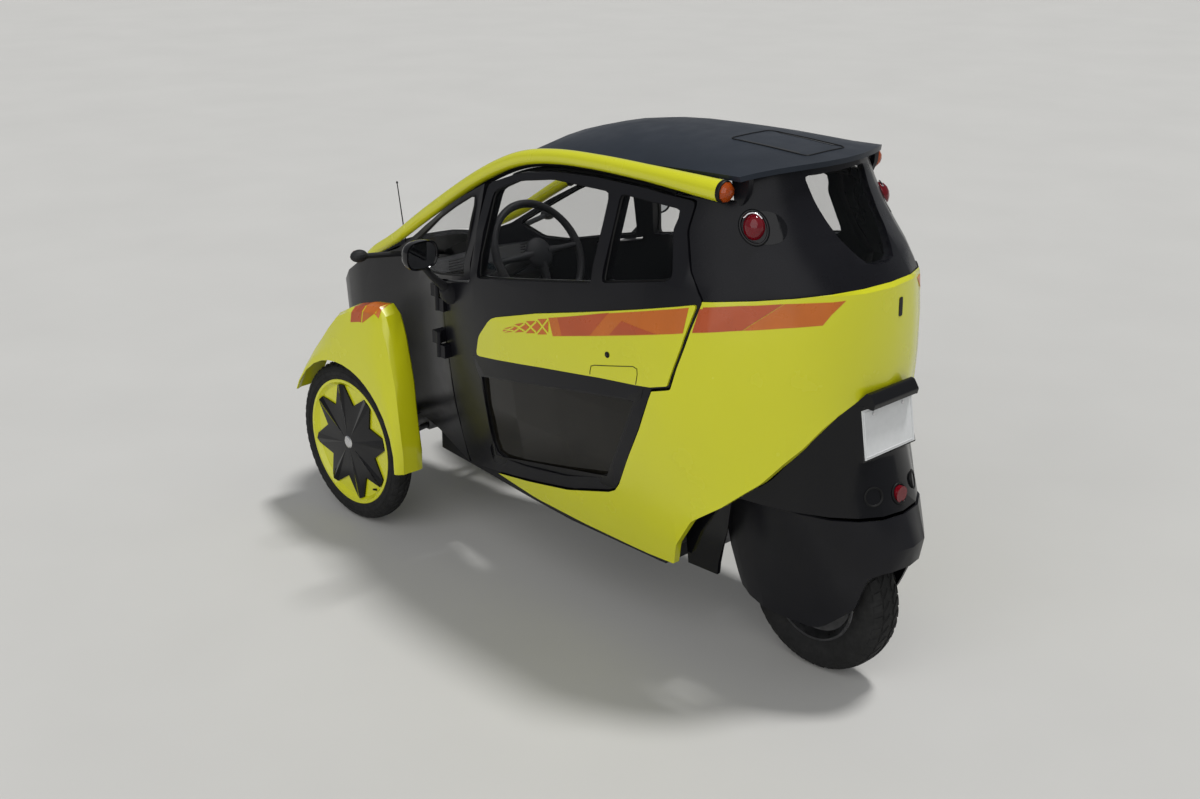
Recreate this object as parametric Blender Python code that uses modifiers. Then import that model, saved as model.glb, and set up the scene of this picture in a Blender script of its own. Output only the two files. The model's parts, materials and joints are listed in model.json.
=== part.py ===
"""Three wheeled tandem city car with two front wheels, a steered rear wheel and two doors.

The car faces -Y, its left side is +X, the ground is z = 0 and the origin is under the middle of its box.
Metres. Shells are lofts of the body's side table, cut to their side outlines.
"""

from math import cos, pi, radians, sin

import bmesh
import bpy
from mathutils import Matrix, Vector

# Whole car
WHEELBASE = 1.700
FRONT_AXLE_Y = -0.812
REAR_AXLE_Y = FRONT_AXLE_Y + WHEELBASE
TRACK_HALF = 0.370
SEAT_GAP = 0.0003          # gap between faces that touch
SHUT_GAP = 0.006           # gap round each door
BODY_WALL = 0.020
DOOR_WALL = 0.038
PROUD = 0.006              # yellow skins stand this far outside the dark ones

# Front wheels
FRONT_TYRE_RADIUS = 0.275
FRONT_TYRE_WIDTH = 0.080
FRONT_RIM_RADIUS = 0.2165
AXLE_RADIUS = 0.012
HUB_CLEARANCE = 0.0004
STAR_POINTS = 8
KNUCKLE_X = 0.292
STAY_END = (-0.025, 0.067, 0.525)        # from the wheel's middle to the fender
STAY_RADIUS = 0.008
CROSS_FOOT_Z = 0.262
# Suspension arms: height at the knuckle over the axle, height at the cross member, half the roots' spread
ARMS = (
    (-0.043, 0.280, 0.060),
    (0.030, 0.325, 0.035),
)

# Rear wheel
REAR_TYRE_RADIUS = 0.235
REAR_TYRE_WIDTH = 0.120
REAR_RIM_RADIUS = 0.140
STEER_AXIS_Y = REAR_AXLE_Y - 0.030
REAR_TYRE_ROOM = 0.012     # between the tyre and the yoke over it
YOKE_THICKNESS = 0.018
YOKE_Z = 2 * REAR_TYRE_RADIUS + REAR_TYRE_ROOM + YOKE_THICKNESS
FORK_SIDE_ROOM = 0.005     # between the tyre and the fork's legs
STEM_RADIUS = 0.018
STEM_TOP_Z = 0.640
FORK_LEG_RADIUS = 0.011

# Doors
HINGE_X = 0.354
HINGE_Y = -0.365
HINGE_RADIUS = 0.008
HINGE_LEVELS = (0.720, 0.870)
HINGE_HEIGHT = 0.040

MIRROR_SIZE = (0.116, 0.046, 0.088)
MIRROR_EDGE = 0.020

# Lamps: middle of the left one, and its half sizes
HEADLAMP = (0.095, -1.152, 0.640)
HEADLAMP_RADII = (0.041, 0.020, 0.056)
TAIL_LAMP = (0.254, 0.800, 1.292)
TAIL_LAMP_RADII = (0.026, 0.030, 0.036)

# Floor
FLOOR_Z = 0.245
FLOOR_THICKNESS = 0.020
SILL_Z = 0.300
BATTERY_TOP_Z = 0.340
TUB_STEP_Y = -0.371        # behind the nose, the tub's sides stand free inside the skirts

# Steering wheel
WHEEL_HUB = Vector((0.0, -0.300, 0.955))
WHEEL_AXIS = Vector((0.0, 0.86, 0.51)).normalized()
WHEEL_RADIUS = 0.165
WHEEL_RIM = 0.013
SPOKE_RADIUS = 0.009
COLUMN_LENGTH = 0.330
COLUMN_RADIUS = 0.020

# Rails
RAIL_END_Y = 0.738
RAIL_SQUARE_Y = 0.730      # the rail runs straight back from here
RAIL_STEPS = 18
LAMP_LENGTH = 0.022

# Body side: height, half width, how far back the tail reaches, squareness of the tail in plan
BODY_LEVELS = (
    (0.20, 0.262, 0.950, 2.2),
    (0.28, 0.288, 0.970, 2.2),
    (0.34, 0.310, 0.985, 2.2),
    (0.45, 0.344, 1.005, 2.2),
    (0.60, 0.374, 1.025, 2.2),
    (0.75, 0.396, 1.040, 2.2),
    (0.88, 0.407, 1.047, 2.2),
    (0.98, 0.404, 1.048, 2.2),
    (1.08, 0.391, 1.047, 2.2),
    (1.16, 0.373, 1.040, 2.2),
    (1.21, 0.356, 1.005, 2.2),
    (1.26, 0.339, 0.955, 2.3),
    (1.33, 0.319, 0.900, 2.4),
    (1.40, 0.298, 0.862, 2.5),
    (1.46, 0.280, 0.850, 2.5),
)
TAIL_START = 0.500

# Plan taper towards the nose: y, share of the half width
PLAN_TAPER = (
    (-1.1725, 0.24),
    (-1.150, 0.36),
    (-1.090, 0.48),
    (-0.980, 0.56),
    (-0.820, 0.595),
    (-0.660, 0.620),
    (-0.550, 0.665),
    (-0.450, 0.745),
    (-0.365, 0.830),
    (-0.250, 0.905),
    (-0.120, 0.960),
    (0.050, 0.990),
    (0.250, 1.000),
    (0.500, 1.000),
)

# Nose sections: y, floor height, shoulder height, crown height
NOSE_SECTIONS = (
    (-1.1725, 0.500, 0.605, 0.625),
    (-1.160, 0.440, 0.665, 0.690),
    (-1.110, 0.385, 0.735, 0.765),
    (-1.020, 0.370, 0.800, 0.835),
    (-0.930, 0.365, 0.850, 0.885),
    (-0.840, 0.362, 0.885, 0.935),
    (-0.700, 0.350, 0.955, 1.015),
    (-0.560, 0.318, 1.045, 1.100),
    (-0.450, 0.290, 1.110, 1.165),
    (-0.330, 0.280, 1.180, 1.230),
    (-0.165, 0.280, 1.270, 1.320),
)

NOSE_STATIONS = (-1.1725, -1.163, -1.145, -1.11, -1.04, -0.94, -0.82, -0.70, -0.58, -0.47, -0.38,
                 -0.28, -0.165)
NOSE_HOLLOW_STATIONS = (-1.135, -1.07, -0.96, -0.82, -0.68, -0.54, -0.42, -0.32, -0.10)

# Roof rails: y, x, height, tube radius
RAIL_STATIONS = (
    (-0.850, 0.250, 0.890, 0.012),
    (-0.800, 0.254, 0.919, 0.016),
    (-0.684, 0.260, 0.982, 0.018),
    (-0.509, 0.270, 1.092, 0.020),
    (-0.296, 0.283, 1.218, 0.021),
    (-0.144, 0.291, 1.297, 0.021),
    (-0.015, 0.299, 1.346, 0.021),
    (0.124, 0.305, 1.372, 0.021),
    (0.288, 0.310, 1.384, 0.021),
    (0.480, 0.311, 1.3865, 0.0225),
    (0.650, 0.306, 1.3825, 0.027),
    (RAIL_END_Y, 0.299, 1.379, 0.029),
)

# Windscreen and roof sections: y, edge over the rail's centre, further rise to the middle, squareness, edge
# towards the outside
CROWN = (
    (-0.850, 0.002, 0.012, 2.0, 0.000),
    (-0.500, 0.002, 0.030, 2.0, 0.000),
    (-0.110, 0.002, 0.040, 2.0, 0.000),
    (-0.090, 0.006, 0.040, 2.0, 0.000),
    (0.150, 0.008, 0.055, 2.4, 0.000),
    (0.450, 0.016, 0.0525, 2.8, 0.000),
    (0.650, 0.030, 0.043, 2.8, 0.002),
    (0.780, 0.041, 0.031, 2.6, 0.017),
    (0.885, 0.043, 0.023, 2.5, 0.018),
)
SCREEN_FOOT_Y = -0.868
SCREEN_TOP_Y = -0.100
SEAM_TRIM = 0.006          # cut off both panels where they meet, so that their edges are upright
RAIL_SEAT = 0.0004         # between the rails and the panels beside them
ROOF_STEPS = 10
ROOF_REAR_Y = 0.885
ROOF_BOW = 0.110           # the rear lip's ends lie this far ahead of its middle
ROOF_WALL = 0.014
GLASS_WALL = 0.005
SCREEN_STEPS = 8
SCREEN_BULGE = 0.045       # how far the windscreen's foot bows forward in the middle

# Side outlines: y, z, corner radius
DOOR_OUTLINE = (
    (-0.362, 0.296, 0.020),
    (-0.140, 0.345, 0.100),
    (0.003, 0.374, 0.200),
    (0.200, 0.415, 0.200),
    (0.420, 0.486, 0.090),
    (0.540, 0.716, 0.200),
    (0.594, 0.845, 0.004),
    (0.655, 0.864, 0.008),
    (0.691, 0.980, 0.200),
    (0.726, 1.105, 0.015),
    (0.677, 1.171, 0.030),
    (0.640, 1.265, 0.050),
    (0.646, 1.338, 0.012),
    (0.480, 1.346, 0.300),
    (0.288, 1.344, 0.300),
    (0.124, 1.332, 0.200),
    (-0.015, 1.306, 0.150),
    (-0.144, 1.256, 0.030),
    (-0.176, 0.962, 0.020),
    (-0.362, 0.920, 0.012),
)
DOOR_PATCH = ((-0.390, 0.780), (0.260, 1.370))  # y and z ranges of the skins a door is cut from
GLASS_DEPTH = 0.010        # panes lie this far inside the body line
FRONT_WINDOW = (
    (-0.138, 0.985, 0.012),
    (0.352, 1.078, 0.012),
    (0.356, 1.318, 0.020),
    (0.124, 1.313, 0.200),
    (-0.010, 1.288, 0.120),
    (-0.112, 1.240, 0.030),
)
REAR_WINDOW = (
    (0.392, 1.087, 0.012),
    (0.632, 1.140, 0.020),
    (0.598, 1.262, 0.030),
    (0.612, 1.316, 0.030),
    (0.396, 1.319, 0.015),
)
LOWER_WINDOW = (
    (-0.150, 0.405, 0.050),
    (0.003, 0.420, 0.200),
    (0.200, 0.455, 0.200),
    (0.392, 0.516, 0.080),
    (0.500, 0.716, 0.200),
    (0.538, 0.800, 0.020),
    (0.300, 0.762, 0.300),
    (-0.150, 0.680, 0.030),
)
BAND_OUTLINE = (
    (-0.152, 0.744, 0.010),
    (0.168, 0.795, 0.300),
    (0.412, 0.830, 0.300),
    (0.594, 0.851, 0.004),
    (0.651, 0.868, 0.006),
    (0.687, 0.981, 0.200),
    (0.717, 1.096, 0.006),
    (0.400, 1.013, 0.500),
    (0.150, 0.950, 0.400),
    (-0.055, 0.888, 0.100),
    (-0.128, 0.812, 0.060),
)
TAIL_OUTLINE = (
    (-0.175, 0.334, 0.004),
    (0.035, 0.311, 0.300),
    (0.245, 0.302, 0.300),
    (0.443, 0.299, 0.300),
    (0.592, 0.300, 0.006),
    (0.622, 0.377, 0.100),
    (0.687, 0.474, 0.080),
    (0.780, 0.541, 0.100),
    (0.881, 0.630, 0.150),
    (0.965, 0.737, 0.150),
    (1.022, 0.830, 0.100),
    (1.056, 0.884, 0.040),
    (1.200, 0.910, 0.010),
    (1.200, 1.176, 0.010),
    (1.020, 1.150, 0.300),
    (0.720, 1.104, 0.004),
    (0.600, 1.060, 0.010),
    (0.300, 0.600, 0.010),
    (-0.050, 0.420, 0.010),
)
UPPER_OUTLINE = (
    (0.560, 1.075, 0.010),
    (0.720, 1.1046, 0.004),
    (1.020, 1.1506, 0.300),
    (1.200, 1.1766, 0.010),
    (1.200, 1.470, 0.010),
    (0.768, 1.470, 0.010),
    (0.763, 1.348, 0.004),
    (0.560, 1.348, 0.010),
)
QUARTER_LIGHT = (
    (-0.660, 0.945, 0.010),
    (-0.560, 0.912, 0.060),
    (-0.470, 0.915, 0.060),
    (-0.214, 0.972, 0.012),
    (-0.196, 1.222, 0.020),
    (-0.430, 1.092, 0.200),
)
COWL_CUT = (
    (-0.905, 0.905, 0.002),
    (-0.875, 0.868, 0.002),
    (-0.700, 0.938, 0.100),
    (-0.520, 1.052, 0.100),
    (-0.300, 1.180, 0.100),
    (-0.140, 1.264, 0.010),
    (-0.100, 1.500, 0.010),
    (-0.905, 1.500, 0.010),
)
# Rear window opening seen from behind: x, z, corner radius
REAR_OPENING = (
    (0.119, 1.408, 0.010),
    (0.109, 1.330, 0.100),
    (0.094, 1.262, 0.060),
    (0.055, 1.196, 0.050),
    (-0.055, 1.196, 0.050),
    (-0.094, 1.262, 0.060),
    (-0.109, 1.330, 0.100),
    (-0.119, 1.408, 0.010),
)

# Front fender, turned about the axle: angle from the front in degrees, radius of its crown
FENDER_CROWN = (
    (26, 0.298),
    (34, 0.304),
    (48, 0.318),
    (60, 0.337),
    (70, 0.363),
    (79, 0.404),
    (87, 0.452),
    (95, 0.486),
    (104, 0.524),
    (111, 0.556),
    (115, 0.545),
    (121, 0.497),
    (128, 0.445),
    (136, 0.402),
    (147, 0.354),
    (160, 0.324),
    (172, 0.315),
    (184, 0.311),
)
# Fender section: x, share of the way from the arch to the crown, drop below that radius
FENDER_SECTION = (
    (0.330, 1.00, 0.012),
    (0.338, 1.00, 0.003),
    (0.360, 1.00, 0.000),
    (0.392, 1.00, 0.005),
    (0.408, 0.90, 0.000),
    (0.422, 0.55, 0.000),
    (0.430, 0.25, 0.000),
    (0.430, 0.00, 0.000),
)
FENDER_ARCH = 0.287
FENDER_WALL = 0.005
STAY_LENGTH = 0.060        # the stay is trimmed this far outside the fender

# Rear fairing: height, half width, tail reach
FAIRING_LEVELS = (
    (0.290, 0.246, 1.080),
    (0.420, 0.262, 1.110),
    (0.551, 0.270, 1.132),
    (0.610, 0.274, 1.112),
    (0.690, 0.292, 1.083),
    (0.760, 0.312, 1.069),
    (0.835, 0.330, 1.057),
    (0.960, 0.350, 1.048),
)
FAIRING_START_Y = 0.600
FAIRING_WALL = 0.012
LINER_TOP_Z = 0.600        # the liners run up to here behind the tail's lower edge
COVER_SWEEP = 0.2755       # room the steered cover takes beside the wheel when it turns
REFLECTOR_Z = 0.595
REFLECTOR_RADIUS = 0.022
# What is cut away under the fairing, which leaves it a liner beside the wheel: y, z, corner radius
FAIRING_FOOT = (
    (0.690, 0.200, 0.002),
    (0.712, 0.330, 0.060),
    (0.748, 0.440, 0.080),
    (0.765, 0.552, 0.004),
    (1.300, 0.552, 0.002),
    (1.300, 0.200, 0.002),
)
PLATE_TOP = Vector((1.053, 0.835))       # y and z of the plate's back
PLATE_FOOT = Vector((1.0745, 0.705))
PLATE_HALF = 0.105
PLATE_THICKNESS = 0.003
PLATE_MARGIN = 0.0025
PLATE_BORDER = 0.007
PLATE_BASE_Y = 1.012
PLATE_HOOD = (
    (0.980, 0.846, 0.002),
    (1.082, 0.840, 0.003),
    (1.086, 0.856, 0.008),
    (1.070, 0.880, 0.010),
    (0.980, 0.890, 0.002),
)

# Steered wheel cover: height, half width, front and rear reach from the steering axis
COVER_LEVELS = (
    (0.150, 0.116, -0.228, 0.202),
    (0.220, 0.126, -0.263, 0.252),
    (0.300, 0.145, -0.288, 0.287),
    (0.380, 0.168, -0.298, 0.304),
    (0.460, 0.192, -0.298, 0.3145),
    (0.544, 0.214, -0.283, 0.279),
)
COVER_WALL = 0.008
FRAME_ARM_Z = COVER_LEVELS[-1][0] + 0.009
FRAME_DEPTH = 0.067        # of the arm that carries the fork, and the rear seat on top
COVER_EDGE = (
    (0.500, 0.220, 0.010),
    (0.620, 0.185, 0.080),
    (0.760, 0.168, 0.100),
    (0.960, 0.172, 0.080),
    (1.065, 0.265, 0.080),
    (1.110, 0.385, 0.060),
    (1.250, 0.430, 0.010),
    (1.250, 0.100, 0.010),
    (0.500, 0.100, 0.010),
)

# Colours (linear) as base colour, roughness, metallic
YELLOW = ("lime_yellow_paint", (0.62, 0.66, 0.03), 0.30, 0.0)
DARK = ("matt_black_panel", (0.015, 0.015, 0.017), 0.55, 0.0)
GLASS = ("tinted_glass", (0.10, 0.12, 0.12), 0.05, 0.0)
RUBBER = ("tyre_rubber", (0.012, 0.012, 0.012), 0.85, 0.0)
STEEL = ("dark_steel", (0.08, 0.08, 0.085), 0.45, 0.9)
PLASTIC = ("moulded_plastic", (0.03, 0.03, 0.032), 0.65, 0.0)
FABRIC = ("seat_fabric", (0.05, 0.05, 0.055), 0.90, 0.0)
AMBER = ("amber_lens", (0.80, 0.18, 0.02), 0.15, 0.0)
RED = ("red_lens", (0.45, 0.01, 0.02), 0.15, 0.0)
CLEAR = ("clear_lens", (0.75, 0.78, 0.80), 0.10, 0.0)
WHITE = ("plate_white", (0.75, 0.76, 0.74), 0.40, 0.0)


def clear_scene():
    """Empty the file, whatever it opened with."""
    for thing in list(bpy.data.objects):
        bpy.data.objects.remove(thing, do_unlink=True)


def collection(name):
    """Add a collection to the scene."""
    group = bpy.data.collections.new(name)
    bpy.context.scene.collection.children.link(group)
    return group


def finish(obj, look):
    """Give an object its own material."""
    name, colour, roughness, metallic = look
    material = bpy.data.materials.new(f"{obj.name}_{name}")
    material.use_nodes = True
    shader = material.node_tree.nodes["Principled BSDF"]
    shader.inputs["Base Color"].default_value = (*colour, 1.0)
    shader.inputs["Roughness"].default_value = roughness
    shader.inputs["Metallic"].default_value = metallic
    material.diffuse_color = (*colour, 1.0)
    obj.data.materials.clear()
    obj.data.materials.append(material)


def blend(table, at, column):
    """Read a table's column at a value of its first column, on a smooth curve through the rows."""
    keys = [row[0] for row in table]
    values = [row[column] for row in table]
    if at <= keys[0]:
        return values[0]
    if at >= keys[-1]:
        return values[-1]
    slopes = []
    for i in range(len(keys)):
        before = max(i - 1, 0)
        after = min(i + 1, len(keys) - 1)
        slopes.append((values[after] - values[before]) / (keys[after] - keys[before]))
    i = max(k for k in range(len(keys) - 1) if keys[k] <= at)
    span = keys[i + 1] - keys[i]
    t = (at - keys[i]) / span
    start = (2 * t**3 - 3 * t**2 + 1) * values[i] + (t**3 - 2 * t**2 + t) * span * slopes[i]
    end = (3 * t**2 - 2 * t**3) * values[i + 1] + (t**3 - t**2) * span * slopes[i + 1]
    return start + end


def rounded(outline, steps=2):
    """Round an outline's corners: each row is two coordinates and the radius there."""
    points = []
    count = len(outline)
    for i, (a, b, radius) in enumerate(outline):
        corner = Vector((a, b))
        before = Vector(outline[i - 1][:2]) - corner
        after = Vector(outline[(i + 1) % count][:2]) - corner
        half_turn = before.angle(after) / 2
        tangent = radius / max(abs(sin(half_turn) / max(cos(half_turn), 1e-6)), 1e-6)
        reach = min(tangent, before.length * 0.45, after.length * 0.45)
        start = corner + before.normalized() * reach
        end = corner + after.normalized() * reach
        if reach < 0.0015 or half_turn > radians(88):
            points.append(corner)
            continue
        for k in range(steps + 1):
            t = k / steps
            points.append(start * (1 - t) ** 2 + corner * 2 * t * (1 - t) + end * t**2)
    return points


def grown(outline, distance):
    """Move a closed outline outwards (inwards when negative), before its corners are rounded."""
    points = [Vector(row[:2]) for row in outline]
    area = sum(p.x * q.y - q.x * p.y for p, q in zip(points, points[1:] + points[:1]))
    side = 1 if area > 0 else -1
    moved = []
    for i, point in enumerate(points):
        into = (point - points[i - 1]).normalized()
        out = (points[(i + 1) % len(points)] - point).normalized()
        normal_in = Vector((into.y, -into.x)) * side
        normal_out = Vector((out.y, -out.x)) * side
        middle = (normal_in + normal_out).normalized()
        corner = point + middle * distance / max(middle.dot(normal_in), 0.5)
        moved.append((corner.x, corner.y, outline[i][2]))
    return moved


def mesh_object(name, bm, look, group):
    """Turn a bmesh into an object."""
    mesh = bpy.data.meshes.new(name)
    bm.to_mesh(mesh)
    bm.free()
    obj = bpy.data.objects.new(name, mesh)
    group.objects.link(obj)
    finish(obj, look)
    return obj


def grid(name, rows, look, group, wrap=False, caps=False):
    """Loft a surface through rows of points, in triangles that mirror across the car's middle."""
    bm = bmesh.new()
    verts = [[bm.verts.new(p) for p in row] for row in rows]
    count = len(rows[0])
    for low, high in zip(verts, verts[1:]):
        for j in range(count if wrap else count - 1):
            k = (j + 1) % count
            if low[j].co.x + low[k].co.x + high[j].co.x + high[k].co.x >= 0:
                bm.faces.new((low[j], low[k], high[k]))
                bm.faces.new((low[j], high[k], high[j]))
            else:
                bm.faces.new((low[j], low[k], high[j]))
                bm.faces.new((low[k], high[k], high[j]))
    if caps:
        bm.faces.new(list(reversed(verts[0])))
        bm.faces.new(verts[-1])
        bmesh.ops.recalc_face_normals(bm, faces=bm.faces)
    return mesh_object(name, bm, look, group)


def prism(name, points, axis, low, high, look=DARK, group=None):
    """A flat outline drawn out along X, Y or Z."""
    place = {
        "X": lambda a, b, c: (c, a, b),
        "Y": lambda a, b, c: (a, c, b),
        "Z": lambda a, b, c: (a, b, c),
    }[axis]
    bm = bmesh.new()
    outline = bm.faces.new([bm.verts.new(place(p[0], p[1], low)) for p in points])
    drawn = bmesh.ops.extrude_face_region(bm, geom=[outline])["geom"]
    far = [item for item in drawn if isinstance(item, bmesh.types.BMVert)]
    bmesh.ops.translate(bm, verts=far, vec=place(0.0, 0.0, high - low))
    bmesh.ops.recalc_face_normals(bm, faces=bm.faces)
    return mesh_object(name, bm, look, group or CUTTERS)


def box(name, low, high, look, group=None):
    """A box between two corners."""
    bm = bmesh.new()
    size = Vector(high) - Vector(low)
    middle = (Vector(high) + Vector(low)) / 2
    matrix = Matrix.Translation(middle) @ Matrix.Diagonal((*size, 1.0))
    bmesh.ops.create_cube(bm, size=1.0, matrix=matrix)
    return mesh_object(name, bm, look, group or PARTS)


def rod(name, start, end, radius, look, group=None, sides=16, radius_end=None):
    """A cylinder or cone between two points."""
    start, end = Vector(start), Vector(end)
    along = end - start
    turn = Vector((0, 0, 1)).rotation_difference(along).to_matrix().to_4x4()
    bm = bmesh.new()
    bmesh.ops.create_cone(
        bm, cap_ends=True, segments=sides, radius1=radius,
        radius2=radius if radius_end is None else radius_end, depth=along.length,
        matrix=Matrix.Translation((start + end) / 2) @ turn,
    )
    return mesh_object(name, bm, look, group or PARTS)


def ball(name, centre, radii, look, group=None, rings=8, sides=16):
    """An ellipsoid."""
    bm = bmesh.new()
    matrix = Matrix.Translation(centre) @ Matrix.Diagonal((*radii, 1.0))
    bmesh.ops.create_uvsphere(bm, u_segments=sides, v_segments=rings, radius=1.0, matrix=matrix)
    return mesh_object(name, bm, look, group or PARTS)


def turned(name, profile, centre, look, steps=32):
    """A closed profile of (distance along the axle, radius) turned about an axle along X."""
    bm = bmesh.new()
    verts = [bm.verts.new((along, radius, 0.0)) for along, radius in profile]
    for start, end in zip(verts, verts[1:] + verts[:1]):
        bm.edges.new((start, end))
    obj = mesh_object(name, bm, look, PARTS)
    turn = obj.modifiers.new("turn", "SCREW")
    turn.axis = "X"
    turn.steps = steps
    turn.render_steps = steps
    turn.use_merge_vertices = True
    turn.merge_threshold = 0.0001
    turn.use_smooth_shade = True
    bm = bmesh.new()
    bm.from_mesh(applied(obj).data)
    bmesh.ops.recalc_face_normals(bm, faces=bm.faces)
    bm.transform(Matrix.Translation(centre))
    bm.to_mesh(obj.data)
    bm.free()
    return obj


def hoop(name, centre, axis, major, minor, look):
    """A round ring about an axis."""
    turn = Vector((0, 0, 1)).rotation_difference(axis)
    bpy.ops.mesh.primitive_torus_add(
        major_radius=major, minor_radius=minor, major_segments=24, minor_segments=6,
    )
    ring = bpy.context.object
    for group in list(ring.users_collection):
        group.objects.unlink(ring)
    ring.name = name
    ring.data.transform(Matrix.Translation(centre) @ turn.to_matrix().to_4x4())
    PARTS.objects.link(ring)
    finish(ring, look)
    return ring


def thicken(obj, wall, inwards=True):
    """Give an open surface its wall."""
    solid = obj.modifiers.new("wall", "SOLIDIFY")
    solid.thickness = wall
    solid.offset = -1 if inwards else 1
    solid.use_even_offset = True
    return obj


def combine(obj, other, operation):
    """Cut, join or intersect with another object, which becomes a guide."""
    step = obj.modifiers.new(operation.lower(), "BOOLEAN")
    step.operation = operation
    step.object = other
    step.solver = "EXACT"
    other.hide_render = True
    other.hide_viewport = False
    other.display_type = "WIRE"
    if other.name not in CUTTERS.objects:
        CUTTERS.objects.link(other)
        PARTS.objects.unlink(other)
    return obj


def applied(obj):
    """Apply an object's modifiers, so that it can be mirrored or cut further."""
    bpy.context.view_layer.update()
    evaluated = obj.evaluated_get(bpy.context.evaluated_depsgraph_get())
    mesh = bpy.data.meshes.new_from_object(evaluated)
    obj.modifiers.clear()
    obj.data = mesh
    return obj


def mirrored(obj, name):
    """Copy a piece to the other side of the car."""
    applied(obj)
    mesh = obj.data.copy()
    mesh.transform(Matrix.Scale(-1, 4, (1, 0, 0)))
    mesh.flip_normals()
    copy = bpy.data.objects.new(name, mesh)
    PARTS.objects.link(copy)
    return copy


def body_half_width(y, z, proud=0.0):
    """Half width of the body at a place on its side."""
    width = blend(BODY_LEVELS, z, 1) + proud
    if y <= TAIL_START:
        return width * blend(PLAN_TAPER, y, 1)
    reach = blend(BODY_LEVELS, z, 2) + proud
    power = blend(BODY_LEVELS, z, 3)
    share = min((y - TAIL_START) / (reach - TAIL_START), 1.0)
    return width * (1 - share**power) ** (1 / power)


def both_sides(half):
    """Complete a half row of points, which ends on the centre line."""
    return half + [Vector((-p.x, p.y, p.z)) for p in reversed(half[:-1])]


def side_patch(name, y_range, z_range, look, proud=0.0, columns=10, rows=9):
    """Part of the left body side as an open surface."""
    lines = []
    for i in range(rows + 1):
        z = z_range[0] + (z_range[1] - z_range[0]) * i / rows
        line = []
        for j in range(columns + 1):
            y = y_range[0] + (y_range[1] - y_range[0]) * j / columns
            line.append(Vector((body_half_width(y, z) + proud, y, z)))
        lines.append(line)
    return grid(name, lines, look, PARTS)


def door_opening():
    """The hole in the body that a door closes, with its shut gap."""
    return rounded(grown(DOOR_OUTLINE, SHUT_GAP))


def nose_ring(y, inset):
    """One closed section of the nose."""
    floor = blend(NOSE_SECTIONS, y, 1) + inset
    shoulder = blend(NOSE_SECTIONS, y, 2) - inset * 0.6
    crown = blend(NOSE_SECTIONS, y, 3) - inset
    half = [Vector((0.0, y, floor)), Vector(((body_half_width(y, floor) - inset) * 0.7, y, floor))]
    levels = 5
    for k in range(levels):
        z = floor + 0.012 + (shoulder - floor - 0.012) * k / (levels - 1)
        half.append(Vector((body_half_width(y, z) - inset, y, z)))
    edge = half[-1].x
    for share in (0.90, 0.55):
        half.append(Vector((edge * share, y, crown - (crown - shoulder) * share**2.6)))
    top = Vector((0.0, y, crown))
    left = half[1:]
    right = [Vector((-p.x, p.y, p.z)) for p in reversed(left)]
    return [half[0]] + left + [top] + right


def nose_floor(y):
    """Height of the nose's flat underside, which runs straight from station to station."""
    ahead = max(s for s in NOSE_STATIONS if s <= y)
    behind = min(s for s in NOSE_STATIONS if s > y)
    share = (y - ahead) / (behind - ahead)
    return blend(NOSE_SECTIONS, ahead, 1) * (1 - share) + blend(NOSE_SECTIONS, behind, 1) * share


def build_nose():
    """Hollow nose and front pillars in one moulding."""
    nose = grid("nose_shell", [nose_ring(y, 0) for y in NOSE_STATIONS], DARK, PARTS, wrap=True, caps=True)
    rings = [nose_ring(y, BODY_WALL) for y in NOSE_HOLLOW_STATIONS]
    combine(nose, grid("nose_hollow", rings, DARK, CUTTERS, wrap=True, caps=True), "DIFFERENCE")
    combine(nose, prism("cowl_cut", rounded(COWL_CUT), "X", -1, 1), "DIFFERENCE")
    combine(nose, prism("front_door_cut", door_opening(), "X", -1, 1), "DIFFERENCE")
    behind = [(-0.372, 0.2), (0.2, 0.2), (0.2, 0.60), (-0.372, 0.60)]
    combine(nose, prism("nose_end_cut", behind, "X", -1, 1), "DIFFERENCE")
    combine(nose, prism("quarter_cut", rounded(QUARTER_LIGHT), "X", -1, 1), "DIFFERENCE")
    for side in (1, -1):
        for level in HINGE_LEVELS:
            top = level + HINGE_HEIGHT
            barrel = rod(f"nose_barrel_{side}_{level}", (side * HINGE_X, HINGE_Y, level + SEAT_GAP),
                         (side * HINGE_X, HINGE_Y, top), HINGE_RADIUS, DARK, CUTTERS, 12)
            leaf = box(f"nose_leaf_{side}_{level}",
                       (side * HINGE_X - 0.038, HINGE_Y - 0.030, level + SEAT_GAP),
                       (side * HINGE_X + 0.002, HINGE_Y - 0.0045, top), DARK, CUTTERS)
            if side < 0:
                leaf.data.transform(Matrix.Translation((0.036, 0, 0)))
            combine(nose, leaf, "UNION")
            combine(nose, barrel, "UNION")
    applied(nose)
    glass = side_patch("quarter_glass_left", (-0.70, -0.15), (0.88, 1.26), GLASS, -0.008, 8, 6)
    thicken(glass, GLASS_WALL)
    pane = rounded(grown(QUARTER_LIGHT, -SEAT_GAP))
    combine(glass, prism("quarter_pane", pane, "X", 0.0, 1.0), "INTERSECT")
    mirrored(glass, "quarter_glass_right")


def rail_place(y):
    """Centre and radius of a rail at a station."""
    x, z, radius = (blend(RAIL_STATIONS, y, c) for c in (1, 2, 3))
    return x, y, z, radius


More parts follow.
